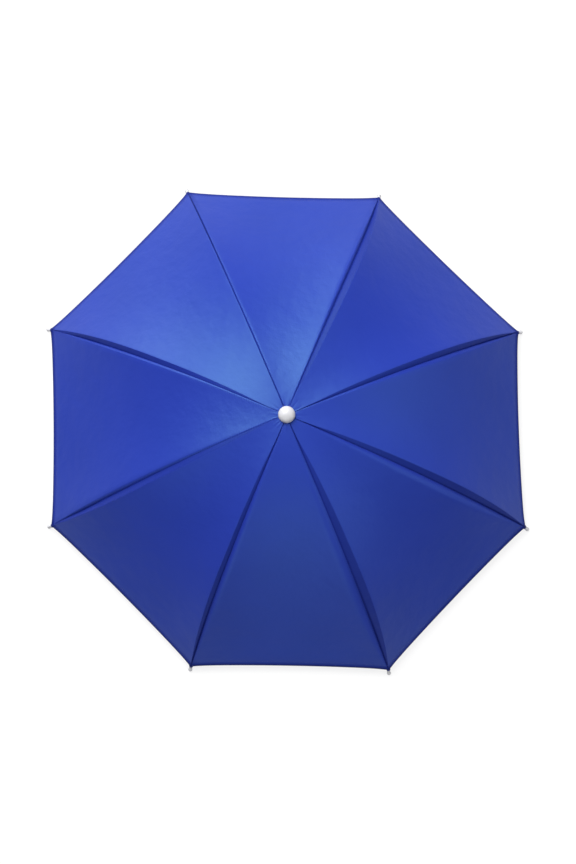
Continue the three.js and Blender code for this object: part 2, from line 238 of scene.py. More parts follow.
class Form:
    """The canopy's curves, worked out from the sizes. All lengths are in metres."""

    def __init__(self, scene):
        self.cloth = scene.hat_cloth
        self.parts = scene.hat_frame
        self.rib_line = math.hypot(self.cloth.reach, self.cloth.rise)
        steep = self.steepness(1.0)
        tip = self.parts
        self.corner_height = (
            self.rib_depth(1.0) * math.cos(steep)
            + tip.tip_length * math.sin(steep)
            + tip.tip_radius
            - tip.tip_foot
        )
        self.crown_height = self.corner_height + self.cloth.rise

    def through(self, name, at):
        """The smooth curve through one column of the sections."""
        places = np.array([row["along"] for row in SECTIONS])
        values = np.array([[row[name]] for row in SECTIONS])
        return curve(places, values, np.minimum(at, 1.0))[..., 0]

    def drop(self, along):
        peak = self.cloth.peak
        return self.cloth.rise * (peak * along + (1 - peak) * along**self.cloth.bend)

    def steepness(self, along):
        peak, bend = self.cloth.peak, self.cloth.bend
        slope = peak + (1 - peak) * bend * along ** (bend - 1)
        return np.arctan(self.cloth.rise / self.cloth.reach * slope)

    def rib_depth(self, along):
        start, end = FOLD_RUN
        sunk = smooth((along - start) / (end - start))
        return self.cloth.wall + self.parts.gap + self.parts.rib_radius + self.cloth.hem_fold * sunk

    def azimuth(self, rib):
        return 2 * math.pi / len(RIBS) * (rib + 0.5) + math.radians(RIBS[rib]["turn"])

    def normal(self, points, along):
        flat = level(points)
        steep = np.asarray(self.steepness(along))[..., None]
        return flat * np.sin(steep) + np.array((0, 0, 1)) * np.cos(steep)

    def ridge(self, rib, along):
        along = np.asarray(along, float)
        row = RIBS[rib]
        azimuth = self.azimuth(rib)
        out = np.array((math.cos(azimuth), math.sin(azimuth), 0))
        side = np.array((-math.sin(azimuth), math.cos(azimuth), 0))
        slip = (row["lean"] * self.cloth.seam_lean + row["bow"] * MM) * self.through("lean", along)
        points = along[..., None] * self.cloth.reach * row["reach"] * out + slip[..., None] * side
        points[..., 2] = self.crown_height - self.drop(along)
        return points

    def rib(self, rib, along):
        ridge = self.ridge(rib, along)
        return ridge - self.normal(ridge, along) * np.asarray(self.rib_depth(along))[..., None]

    def stitch_distance(self, rib, along):
        """How far the stitch line runs from a rib's ridge."""
        slip = abs(RIBS[rib]["lean"]) * self.cloth.seam_lean * self.through("lean", along)
        return slip + self.cloth.seam_edge

    def rib_end(self, rib):
        """The place and direction in which a rib leaves the cloth at its corner."""
        last, before = self.rib(rib, np.array([1.0, 1 - self.cloth.hem_width / self.rib_line]))
        direction = Vector(last - before).normalized()
        return Vector(last), direction


# Meshes

def level(points):
    """The level directions from the middle of the hat to points on it."""
    flat = points * (1, 1, 0)
    return flat / np.linalg.norm(flat, axis=-1, keepdims=True)


def clean_slate():
    bpy.ops.object.select_all(action="DESELECT")


def rename(piece, name):
    piece.name = name
    piece.data.name = name
    return piece


def mesh_piece(name, vertices, faces):
    """A new mesh object at the origin from lists of corners and faces."""
    mesh = bpy.data.meshes.new(name)
    mesh.from_pydata(vertices, [], faces)
    mesh.update()
    piece = bpy.data.objects.new(name, mesh)
    bpy.context.scene.collection.objects.link(piece)
    return piece


def ring_faces(rings, sides):
    """Faces between rings of corners, with both ends closed."""
    faces = []
    for ring in range(rings - 1):
        for k in range(sides):
            here, there = ring * sides + k, ring * sides + (k + 1) % sides
            faces.append((here, there, there + sides, here + sides))
    faces.append(tuple(reversed(range(sides))))
    faces.append(tuple(range((rings - 1) * sides, rings * sides)))
    return faces


def make_active(piece):
    clean_slate()
    piece.select_set(True)
    bpy.context.view_layer.objects.active = piece


def apply_modifiers(piece):
    make_active(piece)
    for modifier in list(piece.modifiers):
        bpy.ops.object.modifier_apply(modifier=modifier.name)


def join(name, pieces):
    clean_slate()
    for piece in pieces:
        piece.select_set(True)
    bpy.context.view_layer.objects.active = pieces[0]
    bpy.ops.object.join()
    return rename(bpy.context.view_layer.objects.active, name)


def shade_smooth(piece, angle=35):
    make_active(piece)
    bpy.ops.object.shade_smooth_by_angle(angle=math.radians(angle))


def face_outwards(piece):
    make_active(piece)
    bpy.ops.object.mode_set(mode="EDIT")
    bpy.ops.mesh.select_all(action="SELECT")
    bpy.ops.mesh.normals_make_consistent(inside=False)
    bpy.ops.object.mode_set(mode="OBJECT")


def copy_at(master, name, matrix):
    """A copy of a piece with a mesh of its own, set in place inside the mesh."""
    piece = rename(bpy.data.objects.new(name, master.data.copy()), name)
    piece.data.transform(matrix)
    bpy.context.scene.collection.objects.link(piece)
    return piece


def remove(piece):
    bpy.data.objects.remove(piece)


def frame_matrix(place, forward, above=(0, 0, 1)):
    """Own X along forward, own Z as near above as it can be."""
    x = Vector(forward).normalized()
    y = Vector(above).cross(x).normalized()
    z = x.cross(y)
    matrix = Matrix((x, y, z)).transposed().to_4x4()
    matrix.translation = place
    return matrix


def turned_piece(name, sides, profile):
    """A round piece about Z: a disc at the profile's first radius and height, extruded and resized ring by
    ring. The profile is a list of (radius, height), and both ends are closed."""
    clean_slate()
    radius, height = profile[0]
    bpy.ops.mesh.primitive_circle_add(
        vertices=sides, radius=radius, fill_type="NGON", location=(0, 0, height)
    )
    piece = rename(bpy.context.active_object, name)
    bpy.ops.object.transform_apply(location=True, rotation=True, scale=True)
    bpy.ops.object.mode_set(mode="EDIT")
    bpy.ops.mesh.select_mode(type="FACE")
    bpy.ops.mesh.select_all(action="SELECT")
    for next_radius, next_height in profile[1:]:
        bpy.ops.mesh.extrude_region_move(
            TRANSFORM_OT_translate={"value": (0, 0, next_height - height)}
        )
        scale = next_radius / radius
        bpy.ops.transform.resize(value=(scale, scale, 1), center_override=(0, 0, next_height))
        radius, height = next_radius, next_height
    bpy.ops.object.mode_set(mode="OBJECT")
    face_outwards(piece)
    return piece


def bevelled_box(name, size, centre, width, segments):
    """A block with rounded edges."""
    clean_slate()
    bpy.ops.mesh.primitive_cube_add(size=1, location=centre)
    piece = rename(bpy.context.active_object, name)
    piece.scale = size
    bpy.ops.object.transform_apply(location=True, rotation=True, scale=True)
    bpy.ops.object.mode_set(mode="EDIT")
    bpy.ops.mesh.select_all(action="SELECT")
    bpy.ops.mesh.bevel(offset=width, segments=segments, affect="EDGES")
    bpy.ops.object.mode_set(mode="OBJECT")
    return piece


def combine(piece, other, operation):
    """Takes another piece's shape out of a piece, or unites them, and removes the other."""
    modifier = piece.modifiers.new("combine", "BOOLEAN")
    modifier.operation = operation
    modifier.object = other
    modifier.solver = "EXACT"
    apply_modifiers(piece)
    remove(other)


def tube(name, points, radius, sides):
    """A round wire of even thickness through the points, closed at both ends."""
    points = np.asarray(points, float)
    tangents = np.gradient(points, axis=0)
    tangents /= np.linalg.norm(tangents, axis=1, keepdims=True)
    up = np.array((0.0, 0.0, 1.0))
    if abs(tangents[0] @ up) > 0.9:
        up = np.array((1.0, 0.0, 0.0))
    side = np.cross(up, tangents[0])
    vertices = []
    for point, tangent in zip(points, tangents):
        side = side - (side @ tangent) * tangent
        side /= np.linalg.norm(side)
        other = np.cross(tangent, side)
        for k in range(sides):
            angle = 2 * math.pi * k / sides
            vertices.append(point + radius * (math.cos(angle) * side + math.sin(angle) * other))
    return mesh_piece(name, [tuple(v) for v in vertices], ring_faces(len(points), sides))


def spline(points, count):
    """Points spread evenly along a smooth curve through the given ones."""
    points = np.asarray(points, float)
    gaps = np.sqrt(np.linalg.norm(np.diff(points, axis=0), axis=1))
    places = np.concatenate([[0], np.cumsum(gaps)])
    return curve(places, points, np.linspace(0, places[-1], count))


# Materials

# The period in metres of a wave texture whose Scale is 1.
WAVE_PERIOD = math.pi / 10


def new_material(name):
    """An empty material with its output and its Principled shader."""
    material = bpy.data.materials.new(name)
    material.use_nodes = True
    tree = material.node_tree
    tree.nodes.clear()
    output = tree.nodes.new("ShaderNodeOutputMaterial")
    shader = tree.nodes.new("ShaderNodeBsdfPrincipled")
    tree.links.new(shader.outputs[0], output.inputs["Surface"])
    return material, tree, shader, output


def fit(tree, item, settings=None, links=None):
    """Sets a node's properties or sockets by name or number, and links its sockets from others' outputs."""
    for key, value in (settings or {}).items():
        if isinstance(key, int) or key in item.inputs:
            item.inputs[key].default_value = value
        else:
            setattr(item, key, value)
    for key, source in (links or {}).items():
        tree.links.new(source, item.inputs[key])
    return item


def node(tree, kind, settings=None, links=None, ramp=()):
    """Adds a node with its settings and links, and for a colour ramp its stops of a position and a colour."""
    added = fit(tree, tree.nodes.new(kind), settings, links)
    for k, (position, tone) in enumerate(ramp):
        added.color_ramp.elements[k].position = position
        added.color_ramp.elements[k].color = (*tone, 1.0)
    return added


def tinted(tone, factor):
    return [min(channel * factor, 1.0) for channel in tone]


def surface(tree, shader, tones, pattern, grain, strength, depth):
    """Colours a surface by the tones of one pattern, and raises it by the grain of another."""
    tone = node(tree, "ShaderNodeValToRGB", links={"Fac": pattern}, ramp=tones)
    bump = node(tree, "ShaderNodeBump", {"Strength": strength, "Distance": depth}, {"Height": grain})
    fit(tree, shader, links={"Base Color": tone.outputs["Color"], "Normal": bump.outputs[0]})


def woven_polyester(colours):
    """Plain-woven dyed polyester, the light cloth of umbrellas: fine filament threads packed close,
    calendered to a soft satin. It gives the eye an even deep blue that pales and greys where the light
    strikes it aslant. Threads lie 0.12 mm apart; they are drawn at 0.6 mm, the least that a picture of the
    whole hat can hold."""
    material, tree, shader, output = new_material("woven_polyester_blue")
    weave_map = node(tree, "ShaderNodeUVMap", {"uv_map": "cloth"}).outputs[0]
    seam_map = node(tree, "ShaderNodeUVMap", {"uv_map": "seam"}).outputs[0]
    thread_pitch = 0.6 * MM
    across, lengthwise = [
        node(
            tree,
            "ShaderNodeTexWave",
            {"bands_direction": direction, "Scale": WAVE_PERIOD / thread_pitch},
            {"Vector": weave_map},
        )
        for direction in "XY"
    ]
    weave = node(
        tree,
        "ShaderNodeMath",
        {"operation": "MULTIPLY"},
        {0: across.outputs["Fac"], 1: lengthwise.outputs["Fac"]},
    )
    # The dye takes a little more or less over patches 9 cm across.
    dye_patch = 90 * MM
    shade = node(tree, "ShaderNodeTexNoise", {"Scale": 1 / dye_patch, "Detail": 3.0}, {"Vector": weave_map})
    spread = node(
        tree, "ShaderNodeMapRange", {"From Min": 0.35, "From Max": 0.65}, {"Value": shade.outputs["Fac"]}
    )
    dye = node(
        tree,
        "ShaderNodeValToRGB",
        links={"Fac": spread.outputs["Result"]},
        ramp=((0.0, colours.cloth), (1.0, colours.cloth_deep)),
    )
    # Over seam allowances, hem, corners and ridges and along the stitches the colour is scaled darker:
    # painted shade standing for the extra cloth and wire there, which let less light through, and for the
    # grooves.
    under = node(tree, "ShaderNodeAttribute", {"attribute_name": "layers"}).outputs["Fac"]
    shaded = node(
        tree, "ShaderNodeMapRange", {"From Max": 2.5, "To Min": 1.0, "To Max": 0.38}, {"Value": under}
    )
    # The painted shade, as the dye's colour scaled down; it colours both the face and the light that comes
    # through.
    deeper = node(
        tree,
        "ShaderNodeVectorMath",
        {"operation": "SCALE"},
        {0: dye.outputs["Color"], "Scale": shaded.outputs["Result"]},
    )
    dyed = deeper.outputs[0]
    # The stitches break the pressed satin face there, so it hardly shines.
    plain_gloss, stitched_gloss = 0.33, 0.04
    shine = node(
        tree,
        "ShaderNodeMapRange",
        {"From Max": 1.3, "To Min": plain_gloss, "To Max": stitched_gloss},
        {"Value": under},
    )
    # Beside a seam the needle has drawn the cloth into small puckers, one to each stitch, over 4 mm.
    stitch_length, pucker_width = 2.5 * MM, 4 * MM
    parts = node(tree, "ShaderNodeSeparateXYZ", links={"Vector": seam_map})
    off_seam = node(tree, "ShaderNodeMath", {"operation": "ABSOLUTE"}, {0: parts.outputs["X"]})
    near_seam = node(
        tree,
        "ShaderNodeMapRange",
        {"From Max": pucker_width, "To Min": 1.0, "To Max": 0.0},
        {"Value": off_seam.outputs[0]},
    )
    turns = node(
        tree,
        "ShaderNodeMath",
        {"operation": "MULTIPLY", 1: 2 * math.pi / stitch_length},
        {0: parts.outputs["Y"]},
    )
    puckers = node(tree, "ShaderNodeMath", {"operation": "SINE"}, {0: turns.outputs[0]})
    drawn = node(
        tree,
        "ShaderNodeMath",
        {"operation": "MULTIPLY"},
        {0: puckers.outputs[0], 1: near_seam.outputs[0]},
    )
    # Handling leaves a faint crinkle a centimetre across in the stretched cloth.
    crinkle_width = 14 * MM
    crinkle = node(
        tree, "ShaderNodeTexNoise", {"Scale": 1 / crinkle_width, "Detail": 3.0}, {"Vector": weave_map}
    )
    crinkle_bump = node(
        tree, "ShaderNodeBump", {"Strength": 0.6, "Distance": 0.9 * MM}, {"Height": crinkle.outputs["Fac"]}
    )
    weave_bump = node(
        tree,
        "ShaderNodeBump",
        {"Strength": 0.12, "Distance": 0.1 * MM},
        {"Height": weave.outputs[0], "Normal": crinkle_bump.outputs[0]},
    )
    pucker_bump = node(
        tree,
        "ShaderNodeBump",
        {"Strength": 0.5, "Distance": 0.12 * MM},
        {"Height": drawn.outputs[0], "Normal": weave_bump.outputs[0]},
    )
    # The gloss socket holds the plain cloth's value too, for an exported model, which loses the link.
    fit(
        tree,
        shader,
        {
            "Roughness": 0.42,
            "IOR": 1.5,
            "Specular IOR Level": plain_gloss,
            "Specular Tint": (0.4, 0.92, 1.0, 1.0),
        },
        {
            "Specular IOR Level": shine.outputs["Result"],
            "Base Color": dyed,
            "Normal": pucker_bump.outputs[0],
        },
    )
    # The cloth is thin enough for some light to come through.
    light_through = 0.12
    through = node(tree, "ShaderNodeBsdfTranslucent", links={"Color": dyed, "Normal": pucker_bump.outputs[0]})
    both = node(
        tree, "ShaderNodeMixShader", {"Fac": light_through}, {1: shader.outputs[0], 2: through.outputs[0]}
    )
    tree.links.new(both.outputs[0], output.inputs["Surface"])
    return material


def raw_polyester(colours):
    """The same woven polyester at its cut edges inside the hat: the weave alone, with no satin face."""
    material, tree, shader, _ = new_material("woven_polyester_inside")
    place = node(tree, "ShaderNodeTexCoord").outputs["Object"]
    thread_pitch = 0.6 * MM
    threads = node(tree, "ShaderNodeTexNoise", {"Scale": 1 / thread_pitch, "Detail": 2.0}, {"Vector": place})
    tones = ((0.0, tinted(colours.cloth, 0.85)), (1.0, colours.cloth))
    surface(tree, shader, tones, threads.outputs["Fac"], threads.outputs["Fac"], 0.2, 0.1 * MM)
    fit(tree, shader, {"Roughness": 0.7})
    return material


def spun_thread(colours):
    """Spun polyester sewing thread: two plies twisted together, matt and a little fuzzy."""
    material, tree, shader, _ = new_material("spun_polyester_thread")
    place = node(tree, "ShaderNodeTexCoord").outputs["Object"]
    ply = 0.35 * MM
    twist = node(tree, "ShaderNodeTexNoise", {"Scale": 1 / ply, "Detail": 2.0}, {"Vector": place})
    tones = ((0.0, tinted(colours.thread, 0.75)), (1.0, tinted(colours.thread, 1.2)))
    surface(tree, shader, tones, twist.outputs["Fac"], twist.outputs["Fac"], 0.3, 0.05 * MM)
    fit(tree, shader, {"Roughness": 0.8, "Sheen Weight": 0.2})
    return material


def moulded_plastic(name, base, roughness, grain, relief):
    """Injection-moulded plastic. The white caps and tips are polypropylene with a polished mould's soft gloss
    and a faint flow texture; the black loops are nylon with a fine spark-eroded grain."""
    material, tree, shader, _ = new_material(name)
    place = node(tree, "ShaderNodeTexCoord").outputs["Object"]
    flow = 8 * MM
    cloudy = node(tree, "ShaderNodeTexNoise", {"Scale": 1 / flow, "Detail": 2.0}, {"Vector": place})
    skin = node(tree, "ShaderNodeTexNoise", {"Scale": 1 / grain, "Detail": 3.0}, {"Vector": place})
    gloss = node(
        tree,
        "ShaderNodeMapRange",
        {"To Min": roughness * 0.85, "To Max": roughness * 1.15},
        {"Value": skin.outputs["Fac"]},
    )
    tones = ((0.3, tinted(base, 0.95)), (0.7, tinted(base, 1.02)))
    surface(tree, shader, tones, cloudy.outputs["Fac"], skin.outputs["Fac"], relief, 0.05 * MM)
    fit(tree, shader, {"IOR": 1.49}, {"Roughness": gloss.outputs["Result"]})
    return material


def zinc_plated_wire(colours):
    """Hard-drawn steel wire with a thin zinc plate: pale grey metal with fine draw marks and the slightly
    cloudy patches that zinc has."""
    material, tree, shader, _ = new_material("zinc_plated_steel")
    place = node(tree, "ShaderNodeTexCoord").outputs["Object"]
    patch, mark = 12 * MM, 0.4 * MM
    clouds = node(tree, "ShaderNodeTexNoise", {"Scale": 1 / patch, "Detail": 4.0}, {"Vector": place})
    marks = node(tree, "ShaderNodeTexNoise", {"Scale": 1 / mark, "Detail": 2.0}, {"Vector": place})
    gloss = node(
        tree, "ShaderNodeMapRange", {"To Min": 0.26, "To Max": 0.42}, {"Value": marks.outputs["Fac"]}
    )
    tones = ((0.35, tinted(colours.steel, 0.82)), (0.65, colours.steel))
    surface(tree, shader, tones, clouds.outputs["Fac"], marks.outputs["Fac"], 0.15, 0.03 * MM)
    fit(tree, shader, {"Metallic": 1.0}, {"Roughness": gloss.outputs["Result"]})
    return material


def elastic_webbing(colours):
    """Woven elastic webbing: rubber cords covered by black polyester, so that it shows lengthwise ribs 2 mm
    apart, crossed by fine picks 0.7 mm apart that catch a little light."""
    material, tree, shader, _ = new_material("woven_elastic_webbing")
    band_map = node(tree, "ShaderNodeUVMap", {"uv_map": "band"}).outputs[0]
    pick, fuzz_grain = 0.7 * MM, 1.2 * MM
    picks = node(
        tree,
        "ShaderNodeTexWave",
        {"bands_direction": "X", "Scale": WAVE_PERIOD / pick, "Distortion": 0.6},
        {"Vector": band_map},
    )
    fuzz = node(tree, "ShaderNodeTexNoise", {"Scale": 1 / fuzz_grain, "Detail": 3.0}, {"Vector": band_map})
    height = node(
        tree,
        "ShaderNodeMath",
        {"operation": "MULTIPLY_ADD", 1: 0.35},
        {0: fuzz.outputs["Fac"], 2: picks.outputs["Fac"]},
    )
    tones = ((0.0, tinted(colours.webbing, 0.7)), (1.0, tinted(colours.webbing, 1.5)))
    surface(tree, shader, tones, picks.outputs["Fac"], height.outputs[0], 0.6, 0.15 * MM)
    fit(tree, shader, {"Roughness": 0.85, "Sheen Weight": 0.3, "Sheen Roughness": 0.4})
    return material


def light_table(colours):
    """Opal acrylic of a light table, sanded matt and lit from below, so that its shadows stay pale."""
    material, tree, shader, _ = new_material("opal_acrylic")
    place = node(tree, "ShaderNodeTexCoord").outputs["Object"]
    clouds = node(tree, "ShaderNodeTexNoise", {"Scale": 3.0, "Detail": 2.0}, {"Vector": place})
    tone = node(
        tree,
        "ShaderNodeValToRGB",
        links={"Fac": clouds.outputs["Fac"]},
        ramp=((0.0, tinted(colours.floor, 0.985)), (1.0, colours.floor)),
    )
    fit(
        tree,
        shader,
        {
            "Roughness": 0.75,
            "Specular IOR Level": 0.2,
            "Emission Color": (1, 1, 1, 1),
            "Emission Strength": 0.82,
        },
        {"Base Color": tone.outputs["Color"]},
    )
    return material


FINISHES = {}


def finish(name):
    """The finished material of that name, made once."""
    colours = bpy.context.scene.hat_colours
    white = ("moulded_white_polypropylene", colours.plastic, 0.4, 0.8 * MM, 0.05)
    black = ("moulded_black_nylon", colours.dark_plastic, 0.45, 0.3 * MM, 0.35)
    makers = {
        "cloth": lambda: woven_polyester(colours),
        "allowance": lambda: raw_polyester(colours),
        "thread": lambda: spun_thread(colours),
        "white": lambda: moulded_plastic(*white),
        "black": lambda: moulded_plastic(*black),
        "steel": lambda: zinc_plated_wire(colours),
        "webbing": lambda: elastic_webbing(colours),
        "table": lambda: light_table(colours),
    }
    if name not in FINISHES:
        FINISHES[name] = makers[name]()
    return FINISHES[name]


def dress(piece, finish_name, slot, *nodes):
    """Gives a piece its material and its body, and hides the nodes that it stands for. The slot is not used.
    """
    piece.data.materials.clear()
    piece.data.materials.append(finish(finish_name))
    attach(piece, "root")
    if nodes:
        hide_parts(*nodes)


# Canopy cloth

CANOPY_ROWS = 84
PANEL_COLUMNS = 22
# How far the rows crowd towards the crown and a gore's columns towards its seams, as shares.
ROW_CROWDING = 0.35
PANEL_CROWDING = 0.05
# Where the columns beside a stitch line stand: short of it and beyond its shoulder as shares of the way
# there, and in pairs on the line's two sides, each at the lesser of a distance and a share of the way.
BEFORE_STITCHES = (0.05, 0.12, 0.25, 0.42, 0.6, 0.76)
BEYOND_STITCHES = (0.3, 0.55, 0.8, 1.05)
BESIDE_STITCHES = ((0.6 * MM, 0.09), (0.25 * MM, 0.04))
# Where they stand beside a bare ridge: distances for a wide gore, and what shares of a narrow one a
# millimetre of these becomes.
BESIDE_RIDGE = (0.3, 0.8, 1.5, 2.8)
RIDGE_SHARE = 0.012
# The rib's ridge itself, where the cloth rests on the wire and gets half as much painted shade as over an
# allowance.
RIDGE_WIDTH = 0.1 * MM
RIDGE_SHADE = 0.5
# Over what width the painted shade over an allowance ends at the stitch line.
SHADE_EDGE = 0.5 * MM
# By how much the groove along the stitches is shallower outside, and from what share of the way out.
GROOVE_LOSS = 0.35
GROOVE_LOSS_END = 0.5
# How steeply the hem's roll ends at a corner.
ROLL_SHARPNESS = 8
CROWN_HOLE = 2.9 * MM
# Gathers where the cap clamps the cloth: 19 folds that drift from side to side and 31 lower ones.
GATHER_START = 9.0 * MM
GATHER_END = 22.0 * MM
GATHER_HEIGHT = 0.09 * MM
# Rows near the hem, as distances from its edge, which rows from the edge the folded part lies under, and the
# angles at which it turns round the edge.
HEM_ROWS = np.array([7.0, 5.6, 5.1, 4.6, 3.4, 2.4, 1.8, 1.2, 0.7, 0.3]) * MM
FOLDED_ROWS = (4, 6, 8, 10)
FOLD_ANGLES = (46, 90, 132, 172)
HEM_ROLL_RUN = 2.4 * MM
# How wide and deep the hem's stitches draw the cloth in.
HEM_LINE_RUN = 0.9 * MM
HEM_LINE_DEPTH = 0.12 * MM
# How much painted shade the hem's edge and the corners get, counted in layers of cloth, and how far in it
# reaches at the corners.
HEM_SHADE = 2.5
CORNER_SHADE = 2.5
CORNER_RUN = 7 * MM


def side_columns(form, rib, along, width, stitched):
    """Where the columns beside a rib stand, and how far its seam reaches into the gore, as shares of the
    gore's width. A rib has its stitch line on one side, and on the other the cloth only turns over it."""
    if not stitched:
        return [np.minimum(d * MM, d * RIDGE_SHARE * width) / width for d in BESIDE_RIDGE], 0 * width
    stitch = form.stitch_distance(rib, along)
    shoulder = RIBS[rib]["shoulder"]
    wide, near = [np.minimum(most, part * stitch) for most, part in BESIDE_STITCHES]
    columns = [s * stitch for s in BEFORE_STITCHES]
    columns += [stitch - wide, stitch - near, stitch, stitch + near, stitch + wide]
    columns += [(1 + (shoulder - 1) * s) * stitch for s in BEYOND_STITCHES]
    return [d / width for d in columns], shoulder * stitch / width


def seam_side(form, rib, along, side, stitched):
    """How the cloth lies in a gore at distances to one side of a rib's ridge: how far it dips, its distance
    from the stitch line, the painted shade along the stitches there, and the painted shade where extra
    cloth lies underneath."""
    cloth, row = form.cloth, RIBS[rib]
    stitch = form.stitch_distance(rib, along)[:, None]
    off = side - stitch if stitched else side + stitch
    # Painted shade along the stitches, where the thread draws the cloth into a groove.
    line_shape = np.exp(-((off / (cloth.line_width / 2)) ** 2))
    line = row["line"] * form.through("line", along)[:, None] * line_shape
    # Where the wire lies under the ridge the cloth gets painted shade as well.
    on_ridge = side < RIDGE_WIDTH
    if not stitched:
        return 0 * side, np.ones_like(side), line, np.where(on_ridge, RIDGE_SHADE, 0)
    # From the ridge the cloth falls to the stitches and rises again as far as the shoulder.
    x = side / stitch
    turn = cloth.ridge_round / 2
    falling = (np.sqrt(side**2 + turn**2) - turn) / (np.sqrt(stitch**2 + turn**2) - turn)
    rising = np.clip((row["shoulder"] - x) / (row["shoulder"] - 1), 0, 1)
    band = np.where(x < 1, np.minimum(falling, 1) ** row["flank"], rising**2)
    dip_share = np.maximum(form.through("dip", along), 0)[:, None] ** row["late"]
    dip = cloth.seam_dip * min(abs(row["lean"]), 1.0) * dip_share
    groove_share = min(row["line"], 1.0) * (1 - GROOVE_LOSS * smooth(along / GROOVE_LOSS_END)[:, None])
    groove = cloth.groove_depth * np.exp(-((off / (cloth.groove_width / 2)) ** 2)) * groove_share
    # Painted shade between the ridge and the stitch line, where the allowance lies, fading out across that
    # line, and half as much on the ridge itself.
    layers = smooth(-off / SHADE_EDGE + 0.5) * np.where(on_ridge, RIDGE_SHADE, 1)
    return np.where(x < row["shoulder"], dip * band, 0) + groove, off, line, layers


def gore_sheet(form, gore, along):
    """One gore's outer face, up to before the next rib's ridge: points, flat places, seam places and painted
    shade by row."""
    cloth = form.cloth
    following = (gore + 1) % len(RIBS)
    opens, closes = RIBS[gore]["lean"] < 0, RIBS[following]["lean"] > 0
    start, end = form.ridge(gore, along), form.ridge(following, along)
    chord = end - start
    width = np.linalg.norm(chord, axis=1)
    first, left = side_columns(form, gore, along, width, opens)
    last, right = side_columns(form, following, along, width, closes)
    opening = [0 * width] + first
    closing = [1 - d for d in reversed(last)]
    shares = np.linspace(0, 1, PANEL_COLUMNS + 2)[1:-1]
    shares = shares - PANEL_CROWDING * np.sin(2 * math.pi * shares)
    panel = [opening[-1] + (closing[0] - opening[-1]) * s for s in shares]
    across = np.stack(opening + panel + closing, axis=1)
    inner = np.clip((across - left[:, None]) / (1 - right - left)[:, None], 0, 1)

    # Between the seams the gore sags.
    soft = (cloth.ridge_round / width)[:, None]
    rounded = np.sqrt((0.5 - np.abs(inner - 0.5)) ** 2 + soft**2) - soft
    sag = cloth.gore_sag * form.through("sag", along)
    depth = sag[:, None] * 4 * rounded * (1 - rounded)
    wide = width[:, None]
    sides = (
        seam_side(form, gore, along, across * wide, opens),
        seam_side(form, following, along, (1 - across) * wide, closes),
    )
    (first_dip, second_dip), offs, lines, layers = zip(*sides)
    depth = depth + first_dip + second_dip
    stitch_off = np.where(np.abs(offs[1]) < np.abs(offs[0]), offs[1], offs[0])

    # The hem lies in from the line between its corners, rolls under and is folded.
    from_middle = np.abs(2 * inner - 1)
    bow = cloth.hem_bow * (1 - from_middle**2) + cloth.hem_pull * (1 - from_middle**CORNER_SHARPNESS)
    pull = RIBS[gore]["hem"] * bow * along[:, None] ** PULL_FADE
    to_edge = (1 - along[:, None]) * form.rib_line
    rolled = cloth.hem_roll * np.clip(1 - to_edge / HEM_ROLL_RUN, 0, 1) ** 2
    depth = depth + rolled * (1 - from_middle**ROLL_SHARPNESS)
    to_corner = np.hypot(to_edge, (0.5 - np.abs(across - 0.5)) * wide)
    # Painted shade: darker towards the hem's edge, at the corners, over the seam allowances and along the
    # stitches.
    at_edge = HEM_SHADE * np.clip(1 - to_edge / cloth.hem_width, 0, 1)
    at_corner = CORNER_SHADE * smooth(1 - to_corner / CORNER_RUN)
    in_seams = np.maximum(*layers) + np.maximum(*lines)
    all_layer_shade = np.maximum(np.maximum(in_seams, at_edge), at_corner)

    inward = -form.normal((start + end) / 2, along)
    steep = form.steepness(along)[:, None]
    points = start[:, None] + chord[:, None] * across[..., None] + inward[:, None] * depth[..., None]
    points = points - level(points) * (pull * np.cos(steep))[..., None]
    points[..., 2] += pull * np.sin(steep)
    run = np.concatenate([[0], np.cumsum(np.linalg.norm(np.diff((start + end) / 2, axis=0), axis=1))])
    lengthwise = np.broadcast_to(run[:, None], across.shape)
    cloth_place = np.stack([(across - 0.5) * wide, lengthwise], axis=-1)
    seam_place = np.stack([stitch_off, lengthwise], axis=-1)
    return points, cloth_place, seam_place, all_layer_shade


def canopy_places(form):
    """The rows' shares of the way out: closer together at the crown and at the hem."""
    first = CROWN_HOLE / (form.cloth.reach * math.cos(math.pi / len(RIBS)))
    t = np.linspace(0, 1, CANOPY_ROWS)
    rows = first + (1 - first) * (ROW_CROWDING * t**2 + (1 - ROW_CROWDING) * t)
    hem = 1 - HEM_ROWS / form.rib_line
    least_step = 0.002
    return np.concatenate([rows[rows < hem[0] - least_step], hem, [1.0]])


def canopy_face(form, along):
    """The outer face of the whole canopy by rows: points, outward directions, the first column of each
    gore, the places in the cloth and off the seams, and the painted shade."""
    gores = [gore_sheet(form, gore, along) for gore in range(len(RIBS))]
    points, cloth_places, seam_places, layers = [np.concatenate(parts, axis=1) for parts in zip(*gores)]
    first_columns = np.cumsum([0] + [gore[0].shape[1] for gore in gores[:-1]])
    normals = form.normal(points, along[:, None])
    radius = np.hypot(points[..., 0], points[..., 1])
    angle = np.arctan2(points[..., 1], points[..., 0])
    gathered = smooth((GATHER_END - radius) / (GATHER_END - GATHER_START))
    folds = np.sin(19 * angle + 1.3 * np.sin(3 * angle)) + 0.6 * np.sin(31 * angle + 2.0)
    hem_at = 1 - form.cloth.hem_width / form.rib_line
    hem_line = np.exp(-(((along - hem_at) / (HEM_LINE_RUN / form.cloth.reach)) ** 2))
    lift = GATHER_HEIGHT * gathered * folds - HEM_LINE_DEPTH * hem_line[:, None]
    return points + normals * lift[..., None], normals, first_columns, cloth_places, seam_places, layers


